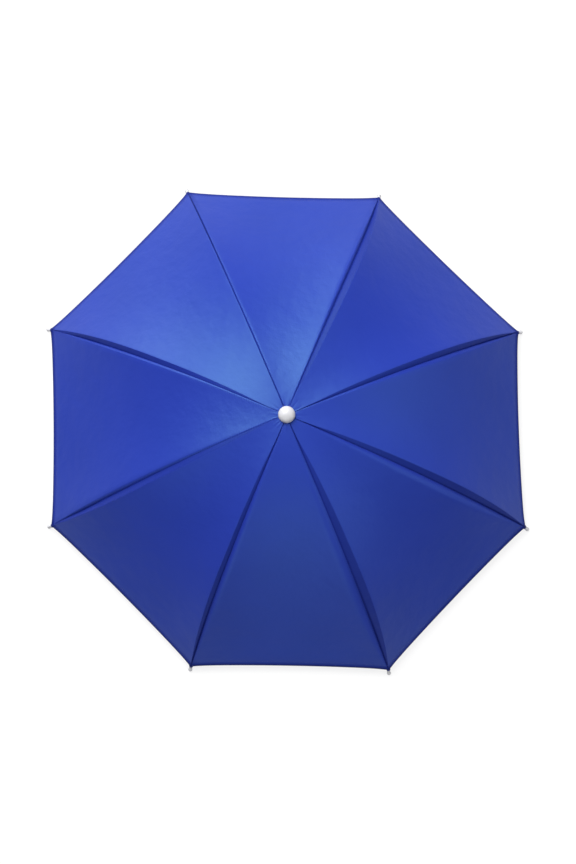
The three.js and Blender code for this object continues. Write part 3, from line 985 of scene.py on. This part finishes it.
def grid_mesh(name, points, closed):
    """A sheet through a grid of points whose rows run round the hat or, if not closed, from side to side. Its
    outer face is the one seen with the rows running outwards and the columns counter-clockwise."""
    rows, columns = points.shape[:2]
    faces = []
    for row in range(rows - 1):
        for k in range(columns if closed else columns - 1):
            j = (k + 1) % columns
            here, there = row * columns, (row + 1) * columns
            faces.append((here + k, there + k, there + j, here + j))
    return mesh_piece(name, points.reshape(-1, 3).tolist(), faces)


def give_wall(piece, thickness):
    """Thickens a sheet away from its outer face."""
    solid = piece.modifiers.new("wall", "SOLIDIFY")
    solid.thickness = thickness
    solid.offset = -1
    apply_modifiers(piece)


def build_canopy(form):
    along = canopy_places(form)
    points, normals, _, cloth_places, seam_places, layers = canopy_face(form, along)
    # The hem is folded under: round the edge and back along the inside.
    fold = form.cloth.hem_turn
    out = points[-1] - points[-3]
    out = out / np.linalg.norm(out, axis=1, keepdims=True)
    turned = [
        points[-1] + out * fold / 2 * math.sin(a) - normals[-1] * fold / 2 * (1 - math.cos(a))
        for a in np.radians(FOLD_ANGLES)
    ]
    under = [points[-row] - normals[-row] * fold for row in FOLDED_ROWS]

    def with_fold(values):
        folded = [values[-row][None] for row in FOLDED_ROWS]
        return np.concatenate([values] + [values[-1:]] * len(turned) + folded)

    sheet = np.concatenate([points, np.array(turned), np.array(under)])
    piece = grid_mesh("canopy_cloth", sheet, closed=True)
    mesh = piece.data
    corner = np.zeros(len(mesh.loops), np.int32)
    mesh.loops.foreach_get("vertex_index", corner)
    for name, values in (("cloth", cloth_places), ("seam", seam_places)):
        layer = mesh.uv_layers.new(name=name)
        layer.uv.foreach_set("vector", with_fold(values).reshape(-1, 2)[corner].astype(np.float32).ravel())
    # The painted shade at each corner of the sheet, by which the cloth's material darkens its colour.
    attribute = mesh.attributes.new("layers", "FLOAT", "POINT")
    attribute.data.foreach_set("value", with_fold(layers).ravel().astype(np.float32))
    give_wall(piece, form.cloth.thickness)
    make_active(piece)
    bpy.ops.object.shade_smooth()
    return piece


# Seam allowances, stitching and ties

# Where an allowance starts as a share of the way out, and where it ends before the edge in hem widths.
ALLOWANCE_START = 0.07
ALLOWANCE_END = 1.2
ALLOWANCE_COLUMNS = 7
# Its distance under the cloth, and its thickness in layers, as both gores' edges lie pressed there.
ALLOWANCE_GAP = 0.06 * MM
ALLOWANCE_LAYERS = 1.6
# How many columns of the canopy's face are searched on each side of a ridge for the places beside it.
COLUMNS_SEARCHED = 24
# A stitch: its share of the pitch, its sides, and its rings as their place along it, height and girth.
STITCH_SHARE = 0.78
STITCH_SIDES = 5
STITCH_RINGS = ((-0.5, -1.2, 0.8), (-0.32, 0.3, 1.0), (0.0, 0.7, 1.05), (0.32, 0.3, 1.0), (0.5, -1.2, 0.8))
# Where threads tie a rib to its seam, as shares of the way out, and how often the thread goes round.
TIE_PLACES = (0.28, 0.64, 0.87)
TIE_TURNS = 3
TIE_HALF = 0.5 * MM
TIE_END = 0.8 * MM
BINDING_TURNS = 3
# The thread of bindings and the pitch of their turns, in radii of the sewing thread and of their own.
BINDING_THREAD = 1.5
BINDING_PITCH = 2.2


def across_ridge(points, ridge_column, distances):
    """Points of the canopy's face at distances beside a rib's ridge, positive counter-clockwise, by row."""
    reach = COLUMNS_SEARCHED
    columns = np.arange(ridge_column - reach, ridge_column + reach + 1) % points.shape[1]
    near = points[:, columns]
    steps = np.linalg.norm(np.diff(near, axis=1), axis=2)
    places = np.concatenate([np.zeros((len(near), 1)), np.cumsum(steps, axis=1)], axis=1)
    places = places - places[:, reach : reach + 1]
    found = np.empty((len(near), distances.shape[1], 3))
    for row in range(len(near)):
        for axis in range(3):
            found[row, :, axis] = np.interp(distances[row], places[row], near[row, :, axis])
    return found


def face_directions(points):
    """The outward direction at each point of a grid whose columns run counter-clockwise."""
    direction = np.cross(np.gradient(points, axis=0), np.gradient(points, axis=1))
    return direction / np.linalg.norm(direction, axis=-1, keepdims=True)


def seam_strips(form):
    """Where each seam's allowance lies: a grid of points just under the cloth, from the stitch line to its
    edge, with the directions away from the cloth's outer side."""
    along = canopy_places(form)
    points, _, first_columns, *_ = canopy_face(form, along)
    used = (along > ALLOWANCE_START) & (along < 1 - ALLOWANCE_END * form.cloth.hem_width / form.rib_line)
    strips = []
    for rib, column in enumerate(first_columns):
        side = 1 if RIBS[rib]["lean"] < 0 else -1
        stitch = form.stitch_distance(rib, along)[used]
        shares = np.linspace(0, 1, ALLOWANCE_COLUMNS)[::-side]
        distances = side * (stitch[:, None] - form.cloth.allowance * shares)
        strip = across_ridge(points[used], column, distances)
        strips.append((strip, face_directions(strip), side))
    return strips


def thread_row(path, up, pitch, radius):
    """Corners and faces of a row of stitches along a path: short bars whose ends dip into the cloth."""
    run = np.concatenate([[0], np.cumsum(np.linalg.norm(np.diff(path, axis=0), axis=1))])
    middles = np.arange(pitch / 2, run[-1] - pitch / 2, pitch)

    def at(places, values):
        return np.stack([np.interp(places, run, values[:, k]) for k in range(3)], axis=1)

    place = at(middles, path)
    ahead = at(middles + pitch / 4, path) - place
    ahead /= np.linalg.norm(ahead, axis=1, keepdims=True)
    above = at(middles, up)
    above -= (above * ahead).sum(1, keepdims=True) * ahead
    above /= np.linalg.norm(above, axis=1, keepdims=True)
    beside = np.cross(above, ahead)
    corners = []
    for along, height, girth in STITCH_RINGS:
        for k in range(STITCH_SIDES):
            angle = 2 * math.pi * k / STITCH_SIDES
            offset = (height + girth * math.sin(angle)) * above + girth * math.cos(angle) * beside
            corners.append(place + along * STITCH_SHARE * pitch * ahead + radius * offset)
    corners = np.stack(corners, axis=1)
    shape = ring_faces(len(STITCH_RINGS), STITCH_SIDES)
    faces = [tuple(i * corners.shape[1] + v for v in face) for i in range(len(place)) for face in shape]
    return corners.reshape(-1, 3), faces


def thread_piece(name, rows):
    """One piece of thread from several rows of stitches."""
    corners, faces = [], []
    for row_corners, row_faces in rows:
        start = sum(len(c) for c in corners)
        faces += [tuple(start + v for v in face) for face in row_faces]
        corners.append(row_corners)
    piece = mesh_piece(name, np.concatenate(corners).tolist(), faces)
    face_outwards(piece)
    shade_smooth(piece, 80)
    return piece


def coil(centre, axis, radius, start, end, turns, per_turn=14):
    """Points of a coil round an axis, from one distance along it to another."""
    axis = Vector(axis).normalized()
    side = axis.orthogonal().normalized()
    other = axis.cross(side)
    points = []
    for i in range(turns * per_turn + 1):
        share_done = i / (turns * per_turn)
        angle = 2 * math.pi * turns * share_done
        ring = radius * (math.cos(angle) * side + math.sin(angle) * other)
        points.append(Vector(centre) + axis * (start + (end - start) * share_done) + ring)
    return points


class HAT_OT_canopy(bpy.types.Operator):
    """Sews the canopy: eight gores with their seams and a folded hem"""

    bl_idname = "hat.canopy"
    bl_label = "Canopy cloth"

    def execute(self, context):
        form = Form(context.scene)
        canopy = build_canopy(form)
        dress(canopy, "cloth", "canopy_cloth", "canopy")
        strips = seam_strips(form)
        allowances = self.allowances(form, strips)
        dress(allowances, "allowance", "canopy_cloth")
        seams, hem = self.seam_thread(form, strips), self.hem_thread(form)
        dress(seams, "thread", "canopy_cloth")
        dress(hem, "thread", "canopy_cloth")
        return {"FINISHED"}

    def allowances(self, form, strips):
        """The two gores' edges beyond each seam, which lie pressed to one side under the cloth."""
        pieces = []
        for strip, up, _ in strips:
            piece = grid_mesh("allowance", strip - up * (form.cloth.thickness + ALLOWANCE_GAP), closed=False)
            give_wall(piece, ALLOWANCE_LAYERS * form.cloth.thickness)
            pieces.append(piece)
        joined = join("seam_allowances", pieces)
        shade_smooth(joined, 50)
        return joined

    def seam_thread(self, form, strips):
        """A line of stitches on each allowance, seen from inside the hat."""
        rows = []
        for strip, up, side in strips:
            column = 1 if side < 0 else -2
            depth = (1 + ALLOWANCE_LAYERS) * form.cloth.thickness + ALLOWANCE_GAP
            path = strip[:, column] - up[:, column] * depth
            rows.append(thread_row(path, -up[:, column], form.cloth.stitch, form.cloth.thread))
        return thread_piece("seam_thread", rows)

    def hem_thread(self, form):
        """The hem's stitches, on the cloth's outer face and on the folded edge inside."""
        points, normals, *_ = canopy_face(form, canopy_places(form))
        line = int(np.argmin(np.abs(HEM_ROWS - form.cloth.hem_width))) - len(HEM_ROWS) - 1
        around = np.append(np.arange(points.shape[1]), 0)
        outer, up = points[line][around], normals[line][around]
        clear = 0.02 * MM
        inner = outer - up * (form.cloth.hem_turn + clear)
        stitch, thread = form.cloth.stitch, form.cloth.thread
        rows = [thread_row(outer, up, stitch, thread), thread_row(inner, -up, stitch, thread)]
        return thread_piece("hem_thread", rows)


class HAT_OT_cap(bpy.types.Operator):
    """Turns the cap on the crown, with its stem"""

    bl_idname = "hat.cap"
    bl_label = "Crown cap"

    def execute(self, context):
        form = Form(context.scene)
        low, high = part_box("crown_cap")
        radius = (high.x - low.x) / 2
        stem = 2.6 * MM
        seat = form.crown_height - form.drop(radius / form.cloth.reach) + form.parts.gap
        # Points of the rounded rim, in millimetres in from the cap's side and up from its seat.
        rim = ((1.4, -0.2), (0.5, 0), (0.1, 0.35), (0, 0.9))
        profile = [(stem, low.z), (stem, seat + rim[0][1] * MM)]
        profile += [(radius - inset * MM, seat + above * MM) for inset, above in rim]
        brim = profile[-1][1]
        for angle in np.radians([12, 24, 36, 48, 60, 72, 80, 86]):
            profile.append((radius * math.cos(angle), brim + (high.z - brim) * math.sin(angle)))
        cap = turned_piece("crown_cap_dome", 64, profile)
        shade_smooth(cap, 50)
        dress(cap, "white", "white_plastic", "crown_cap")
        return {"FINISHED"}


class HAT_OT_ribs(bpy.types.Operator):
    """Bends the eight rib wires"""

    bl_idname = "hat.ribs"
    bl_label = "Ribs"

    def execute(self, context):
        form = Form(context.scene)
        parts = form.parts
        bore = parts.tip_length - parts.tip_radius - parts.tip_wall
        for rib, place in enumerate(PLACES):
            points = form.rib(rib, np.linspace(parts.rib_start / form.cloth.reach, 1, 72))
            last, direction = form.rib_end(rib)
            end = np.array(last + direction * (bore - parts.gap))
            wire = tube(f"rib_wire_{place}", np.concatenate([points, end[None]]), parts.rib_radius, 16)
            shade_smooth(wire, 50)
            dress(wire, "steel", "plated_steel", f"rib_{place}")
        return {"FINISHED"}


class HAT_OT_tips(bpy.types.Operator):
    """Turns the knob and collar once and sets one on each rib's end"""

    bl_idname = "hat.tips"
    bl_label = "Rib tips"

    def execute(self, context):
        form = Form(context.scene)
        parts = form.parts
        collar, knob = parts.collar_radius, parts.tip_radius
        start = 2 * parts.gap
        rounding = 0.25 * MM
        profile = [(collar * 0.62, start), (collar * 0.92, start), (collar, start + rounding)]
        for angle in np.linspace(-math.acos(collar / knob), math.radians(86), 14):
            profile.append((knob * math.cos(angle), parts.tip_length + knob * math.sin(angle)))
        master = turned_piece("tip_master", 32, profile)
        for rib, place in enumerate(PLACES):
            last, direction = form.rib_end(rib)
            turn = Vector((0, 0, 1)).rotation_difference(direction).to_matrix().to_4x4()
            turn.translation = last
            tip = copy_at(master, f"knob_{place}", turn)
            # The knob's foot is flat on the floor.
            for vertex in tip.data.vertices:
                vertex.co.z = max(vertex.co.z, 0.0)
            shade_smooth(tip, 40)
            dress(tip, "white", "white_plastic", f"rib_tip_{place}")
        remove(master)
        return {"FINISHED"}


class HAT_OT_ties(bpy.types.Operator):
    """Winds the thread that binds each corner to its tip and ties the ribs to their seams"""

    bl_idname = "hat.ties"
    bl_label = "Bindings and ties"

    def execute(self, context):
        form = Form(context.scene)
        bindings = [self.binding(form, rib) for rib in range(len(RIBS))]
        ties = [self.tie(form, rib, along) for rib in range(len(RIBS)) for along in TIE_PLACES]
        for name, pieces in (("corner_bindings", bindings), ("rib_ties", ties)):
            wound = join(name, pieces)
            shade_smooth(wound, 80)
            dress(wound, "thread", "canopy_cloth")
        return {"FINISHED"}

    def binding(self, form, rib):
        """Thread from a corner of the cloth, wound round the tip's collar."""
        parts = form.parts
        thread = BINDING_THREAD * form.cloth.thread
        last, direction = form.rib_end(rib)
        start = 2 * parts.gap + thread
        end = start + BINDING_PITCH * thread * BINDING_TURNS
        points = coil(last, direction, parts.collar_radius + thread, start, end, turns=BINDING_TURNS)
        corner = Vector(form.ridge(rib, np.array(1.0)))
        slack = 0.6 * MM
        lead = [corner.lerp(points[0], t) - direction * slack * (1 - t) for t in (0.15, 0.55)]
        return tube("binding", lead + points, thread, 6)

    def tie(self, form, rib, along):
        """Thread wound round a rib, with its ends up in the seam."""
        middle, ahead = form.rib(rib, np.array([along, along + 0.01]))
        axis = Vector(ahead - middle).normalized()
        up = Vector(form.normal(middle, along))
        radius = form.parts.rib_radius + form.cloth.thread
        turns = coil(middle, axis, radius, -TIE_HALF, TIE_HALF, turns=TIE_TURNS)
        knot = Vector(middle) + up * (form.rib_depth(along) - form.cloth.thickness)
        return tube("tie", [knot - axis * TIE_END, *turns, knot + axis * TIE_END], form.cloth.thread, 6)


class HAT_OT_hub(bpy.types.Operator):
    """Turns the hub under the crown and cuts a slot in it for each rib"""

    bl_idname = "hat.hub"
    bl_label = "Hub"

    def execute(self, context):
        form = Form(context.scene)
        parts = form.parts
        low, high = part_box("hub")
        radius = (high.x - low.x) / 2
        edge, rounding, crown = 1.5 * MM, 0.3 * MM, 0.4 * MM
        # The cloth between the ribs is lower than on them, by as much as a tenth further out.
        under_cloth = form.drop(radius / (form.cloth.reach * 0.9)) + form.cloth.wall
        top = form.crown_height - under_cloth - parts.gap
        profile = [(radius / 2, low.z), (radius / 2 + crown, low.z)]
        profile += [(radius - edge, low.z + edge), (radius - rounding, low.z + 1.8 * edge)]
        profile += [(radius, low.z + 2.2 * edge), (radius, top - rounding), (radius - rounding, top)]
        profile += [(radius * 0.3, top + crown)]
        hub = turned_piece("hub_disc", 64, profile)
        slots = []
        slot_width = 2 * (parts.rib_radius + parts.gap)
        slot_height = 10 * MM
        floor = form.rib(0, np.array(radius / form.cloth.reach))[2] - parts.rib_radius - parts.gap
        reach = parts.rib_start - parts.gap + radius / 2
        for rib in range(len(RIBS)):
            clean_slate()
            bpy.ops.mesh.primitive_cube_add(size=1)
            slot = bpy.context.active_object
            size = Matrix.Diagonal((radius, slot_width, slot_height, 1))
            move = Matrix.Translation((reach, 0, floor + slot_height / 2))
            slot.data.transform(Matrix.Rotation(form.azimuth(rib), 4, "Z") @ move @ size)
            slots.append(slot)
        combine(hub, join("hub_slots", slots), "DIFFERENCE")
        shade_smooth(hub, 35)
        dress(hub, "white", "white_plastic", "hub")
        return {"FINISHED"}


def band_radii():
    """The headband's inner and outer radius."""
    low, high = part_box("headband")
    head = [m for m in frame["record"]["mounts"] if m["name"] == "head"][0]
    return head["dims"]["r_mm"] * MM, (high.x - low.x) / 2


def socket_place(parts):
    """How far from the middle a loop's socket stands, and the height of its top."""
    low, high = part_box("headband")
    reach = band_radii()[1] + parts.gap + parts.loop_plate / 2 + parts.socket_radius
    return reach, (low.z + high.z) / 2 + parts.socket_height / 2


class HAT_OT_struts(bpy.types.Operator):
    """Bends the struts and their cradles"""

    bl_idname = "hat.struts"
    bl_label = "Struts"

    def execute(self, context):
        form = Form(context.scene)
        parts = form.parts
        reach, top = socket_place(parts)
        slot = parts.rib_radius + parts.gap
        beside = parts.cradle_length / (2 * form.cloth.reach)
        for rib, place in enumerate(PLACES):
            along = parts.strut_reach / (form.cloth.reach * RIBS[rib]["reach"])
            seat, before, after = form.rib(rib, np.array([along, along - beside, along + beside]))
            matrix = frame_matrix(Vector(seat), Vector(after - before).normalized())
            saddle = self.cradle(parts, slot)
            saddle.data.transform(matrix)
            azimuth = form.azimuth(rib)
            x, y = math.cos(azimuth) * reach, math.sin(azimuth) * reach
            foot = Vector((x, y, top - parts.socket_bore + parts.gap))
            mouth = Vector((x, y, top))
            straight = Vector((x, y, top + parts.socket_height / 2))
            above = matrix.to_3x3() @ Vector((0, 0, 1))
            head = Vector(seat) - above * (slot + parts.cradle_plate / 2)
            wire = tube(f"wire_{place}", spline([head, straight, mouth, foot], 48), parts.strut_radius, 16)
            strut = join(f"strut_wire_{place}", [wire, saddle])
            shade_smooth(strut, 40)
            dress(strut, "steel", "plated_steel", f"strut_{place}")
        return {"FINISHED"}

    def cradle(self, parts, slot):
        """A bent sheet channel that holds the rib, open at the top, with its edges rounded."""
        outer = slot + parts.cradle_plate
        size = (parts.cradle_length, 2 * outer, outer)
        saddle = bevelled_box("cradle", size, (0, 0, -outer / 2), 0.35 * MM, 3)
        clean_slate()
        bpy.ops.mesh.primitive_cylinder_add(
            vertices=32, radius=slot, depth=2 * parts.cradle_length, rotation=(0, math.pi / 2, 0)
        )
        channel = bpy.context.active_object
        bpy.ops.object.transform_apply(location=True, rotation=True, scale=True)
        combine(saddle, channel, "DIFFERENCE")
        return saddle


class HAT_OT_band_loops(bpy.types.Operator):
    """Shapes one loop with its socket and sets a copy on the headband for each strut"""

    bl_idname = "hat.band_loops"
    bl_label = "Band loops"

    def execute(self, context):
        form = Form(context.scene)
        parts = form.parts
        inner, outer = band_radii()
        low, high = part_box("headband")
        # The window is as much deeper inwards as the band bulges within the loop's width.
        bulge = inner * (1 - math.cos(parts.loop_width / 2 / inner))
        inside = inner - parts.gap - bulge
        outside = outer + parts.gap
        bottom, top = low.z - parts.gap, high.z + parts.gap
        plate, width = parts.loop_plate, parts.loop_width
        depth, height = outside - inside, top - bottom
        middle = ((inside + outside) / 2, 0, (bottom + top) / 2)
        body = bevelled_box(
            "loop_master", (depth + 2 * plate, width, height + 2 * plate), middle, 0.5 * MM, 4
        )
        window = bevelled_box("window", (depth, 2 * width, height), middle, 0.4 * MM, 3)
        combine(body, window, "DIFFERENCE")
        reach, socket_top = socket_place(parts)
        radius, rounding = parts.socket_radius, 0.4 * MM
        base = socket_top - parts.socket_height
        bore = parts.strut_radius + parts.gap
        profile = [(radius * 0.55, base), (radius - rounding, base), (radius, base + rounding)]
        profile += [(radius, socket_top - rounding), (radius - rounding, socket_top), (bore, socket_top)]
        profile += [(bore, socket_top - parts.socket_bore)]
        post = turned_piece("post", 32, profile)
        post.data.transform(Matrix.Translation((reach, 0, 0)))
        combine(body, post, "UNION")
        for rib, place in enumerate(PLACES):
            loop = copy_at(body, f"loop_{place}", Matrix.Rotation(form.azimuth(rib), 4, "Z"))
            shade_smooth(loop, 35)
            dress(loop, "black", "black_plastic", f"band_loop_{place}")
        remove(body)
        return {"FINISHED"}


class HAT_OT_headband(bpy.types.Operator):
    """Weaves the elastic headband"""

    bl_idname = "hat.headband"
    bl_label = "Headband"

    def execute(self, context):
        inner, outer = band_radii()
        low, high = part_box("headband")
        section = self.section(inner, outer, low.z, high.z)
        around, count = 288, len(section)
        vertices, faces, places = [], [], []
        for i in range(around):
            angle = 2 * math.pi * i / around
            for radius, z in section:
                vertices.append((radius * math.cos(angle), radius * math.sin(angle), z))
        for i in range(around):
            j = (i + 1) % around
            for k in range(count):
                m = (k + 1) % count
                faces.append((i * count + k, j * count + k, j * count + m, i * count + m))
                for column, row in ((i, k), (i + 1, k), (i + 1, m), (i, m)):
                    places.append((column / around * 2 * math.pi * outer, section[row][1]))
        band = mesh_piece("headband_webbing", vertices, faces)
        layer = band.data.uv_layers.new(name="band")
        layer.uv.foreach_set("vector", np.array(places, np.float32).ravel())
        shade_smooth(band, 60)
        dress(band, "webbing", "webbing", "headband")
        return {"FINISHED"}

    def section(self, inner, outer, bottom, top):
        """The band's cut face as (radius, height): two sides ribbed by its cords, and rounded edges."""
        cords, steps_per_cord, edge_steps = 13, 6, 6
        relief, edge = 0.16 * MM, 0.5 * MM
        outside, inside = [], []
        for k in range(cords * steps_per_cord + 1):
            t = k / (cords * steps_per_cord)
            z = bottom + edge + (top - bottom - 2 * edge) * t
            wave = relief * abs(math.cos(math.pi * cords * t))
            outside.append((outer - wave, z))
            inside.append((inner + wave, z))
        middle, half = (inner + outer) / 2, (outer - inner) / 2 - relief
        turns = np.linspace(0, math.pi, edge_steps + 2)[1:-1]
        upper, lower = [
            [(middle + s * half * math.cos(a), z + s * edge * (math.sin(a) - 1)) for a in turns]
            for s, z in ((1, top), (-1, bottom))
        ]
        return outside + upper + list(reversed(inside)) + lower


# Where the camera stood for the photograph: its tilt and spin in degrees, its distance in metres, the point
# it is aimed at in millimetres, and its focal length in pixels of an image 576 wide.
CAMERA_TILT = 5.82
CAMERA_SPIN = -0.198
CAMERA_DISTANCE = 2.2
CAMERA_AIM = (1.28, -9.61, 67.77)
FOCAL_PIXELS = 2066.5
PHOTO_WIDTH = 576
SENSOR_WIDTH = 36


class HAT_OT_stage(bpy.types.Operator):
    """Sets the floor, the lights and the camera"""

    bl_idname = "hat.stage"
    bl_label = "Stage"

    def execute(self, context):
        scene = context.scene
        settings = scene.hat_stage
        clean_slate()
        bpy.ops.mesh.primitive_grid_add(x_subdivisions=8, y_subdivisions=8, size=40, location=(0, 0, 0))
        floor = rename(context.active_object, "floor")
        floor.data.materials.append(finish("table"))
        for row in LIGHTS:
            self.light(scene, row, getattr(settings, f"{row['light']}_power"))
        world = bpy.data.worlds.new("studio")
        scene.world = world
        world.use_nodes = True
        background = world.node_tree.nodes["Background"]
        background.inputs["Color"].default_value = (1, 1, 1, 1)
        background.inputs["Strength"].default_value = settings.sky
        self.camera(scene)
        scene.view_settings.view_transform = "Standard"
        return {"FINISHED"}

    def light(self, scene, row, watts):
        """A round softbox that faces the middle of the floor."""
        name = f"{row['light']}_softbox"
        data = bpy.data.lights.new(name, "AREA")
        data.shape = "DISK"
        data.size = row["size"]
        data.energy = watts
        lamp = bpy.data.objects.new(name, data)
        azimuth, elevation = math.radians(row["azimuth"]), math.radians(row["elevation"])
        level_reach = math.cos(elevation)
        place = (math.cos(azimuth) * level_reach, math.sin(azimuth) * level_reach, math.sin(elevation))
        lamp.location = Vector(place) * row["distance"]
        lamp.rotation_euler = (-lamp.location).to_track_quat("-Z", "Y").to_euler()
        scene.collection.objects.link(lamp)

    def camera(self, scene):
        """The photograph was taken from nearly straight above, a little from the front."""
        data = bpy.data.cameras.new("camera")
        data.sensor_fit = "HORIZONTAL"
        data.sensor_width = SENSOR_WIDTH
        data.lens = SENSOR_WIDTH * FOCAL_PIXELS / PHOTO_WIDTH
        camera = bpy.data.objects.new("camera", data)
        camera.matrix_world = (
            Matrix.Translation(Vector(CAMERA_AIM) * MM)
            @ Matrix.Rotation(math.radians(CAMERA_TILT), 4, "X")
            @ Matrix.Rotation(math.radians(CAMERA_SPIN), 4, "Z")
            @ Matrix.Translation((0, 0, CAMERA_DISTANCE))
        )
        scene.collection.objects.link(camera)
        scene.camera = camera


class HAT_PT_panel(bpy.types.Panel):
    """Lists the pieces and the sizes"""

    bl_idname = "HAT_PT_panel"
    bl_label = "Umbrella hat"
    bl_space_type = "VIEW_3D"
    bl_region_type = "UI"
    bl_category = "Hat"

    def draw(self, context):
        layout = self.layout
        for operator in OPERATORS:
            layout.operator(operator.bl_idname)
        for group, name in GROUPS.items():
            settings = getattr(context.scene, name)
            box = layout.box()
            box.label(text=group.__doc__)
            for size in group.__annotations__:
                box.prop(settings, size)


GROUPS = {
    HatClothSizes: "hat_cloth",
    HatFrameSizes: "hat_frame",
    HatColours: "hat_colours",
    HatStageSettings: "hat_stage",
}
OPERATORS = (
    HAT_OT_stage,
    HAT_OT_canopy,
    HAT_OT_cap,
    HAT_OT_hub,
    HAT_OT_ribs,
    HAT_OT_tips,
    HAT_OT_ties,
    HAT_OT_struts,
    HAT_OT_band_loops,
    HAT_OT_headband,
)


def register():
    for group, name in GROUPS.items():
        bpy.utils.register_class(group)
        setattr(bpy.types.Scene, name, PointerProperty(type=group))
    for operator in OPERATORS:
        bpy.utils.register_class(operator)
    bpy.utils.register_class(HAT_PT_panel)


def unregister():
    bpy.utils.unregister_class(HAT_PT_panel)
    for operator in reversed(OPERATORS):
        bpy.utils.unregister_class(operator)
    for group, name in GROUPS.items():
        delattr(bpy.types.Scene, name)
        bpy.utils.unregister_class(group)


def main():
    register()
    bpy.ops.hat.stage()
    bpy.ops.hat.canopy()
    bpy.ops.hat.cap()
    bpy.ops.hat.hub()
    bpy.ops.hat.ribs()
    bpy.ops.hat.tips()
    bpy.ops.hat.ties()
    bpy.ops.hat.struts()
    bpy.ops.hat.band_loops()
    bpy.ops.hat.headband()


if __name__ == "__main__":
    main()
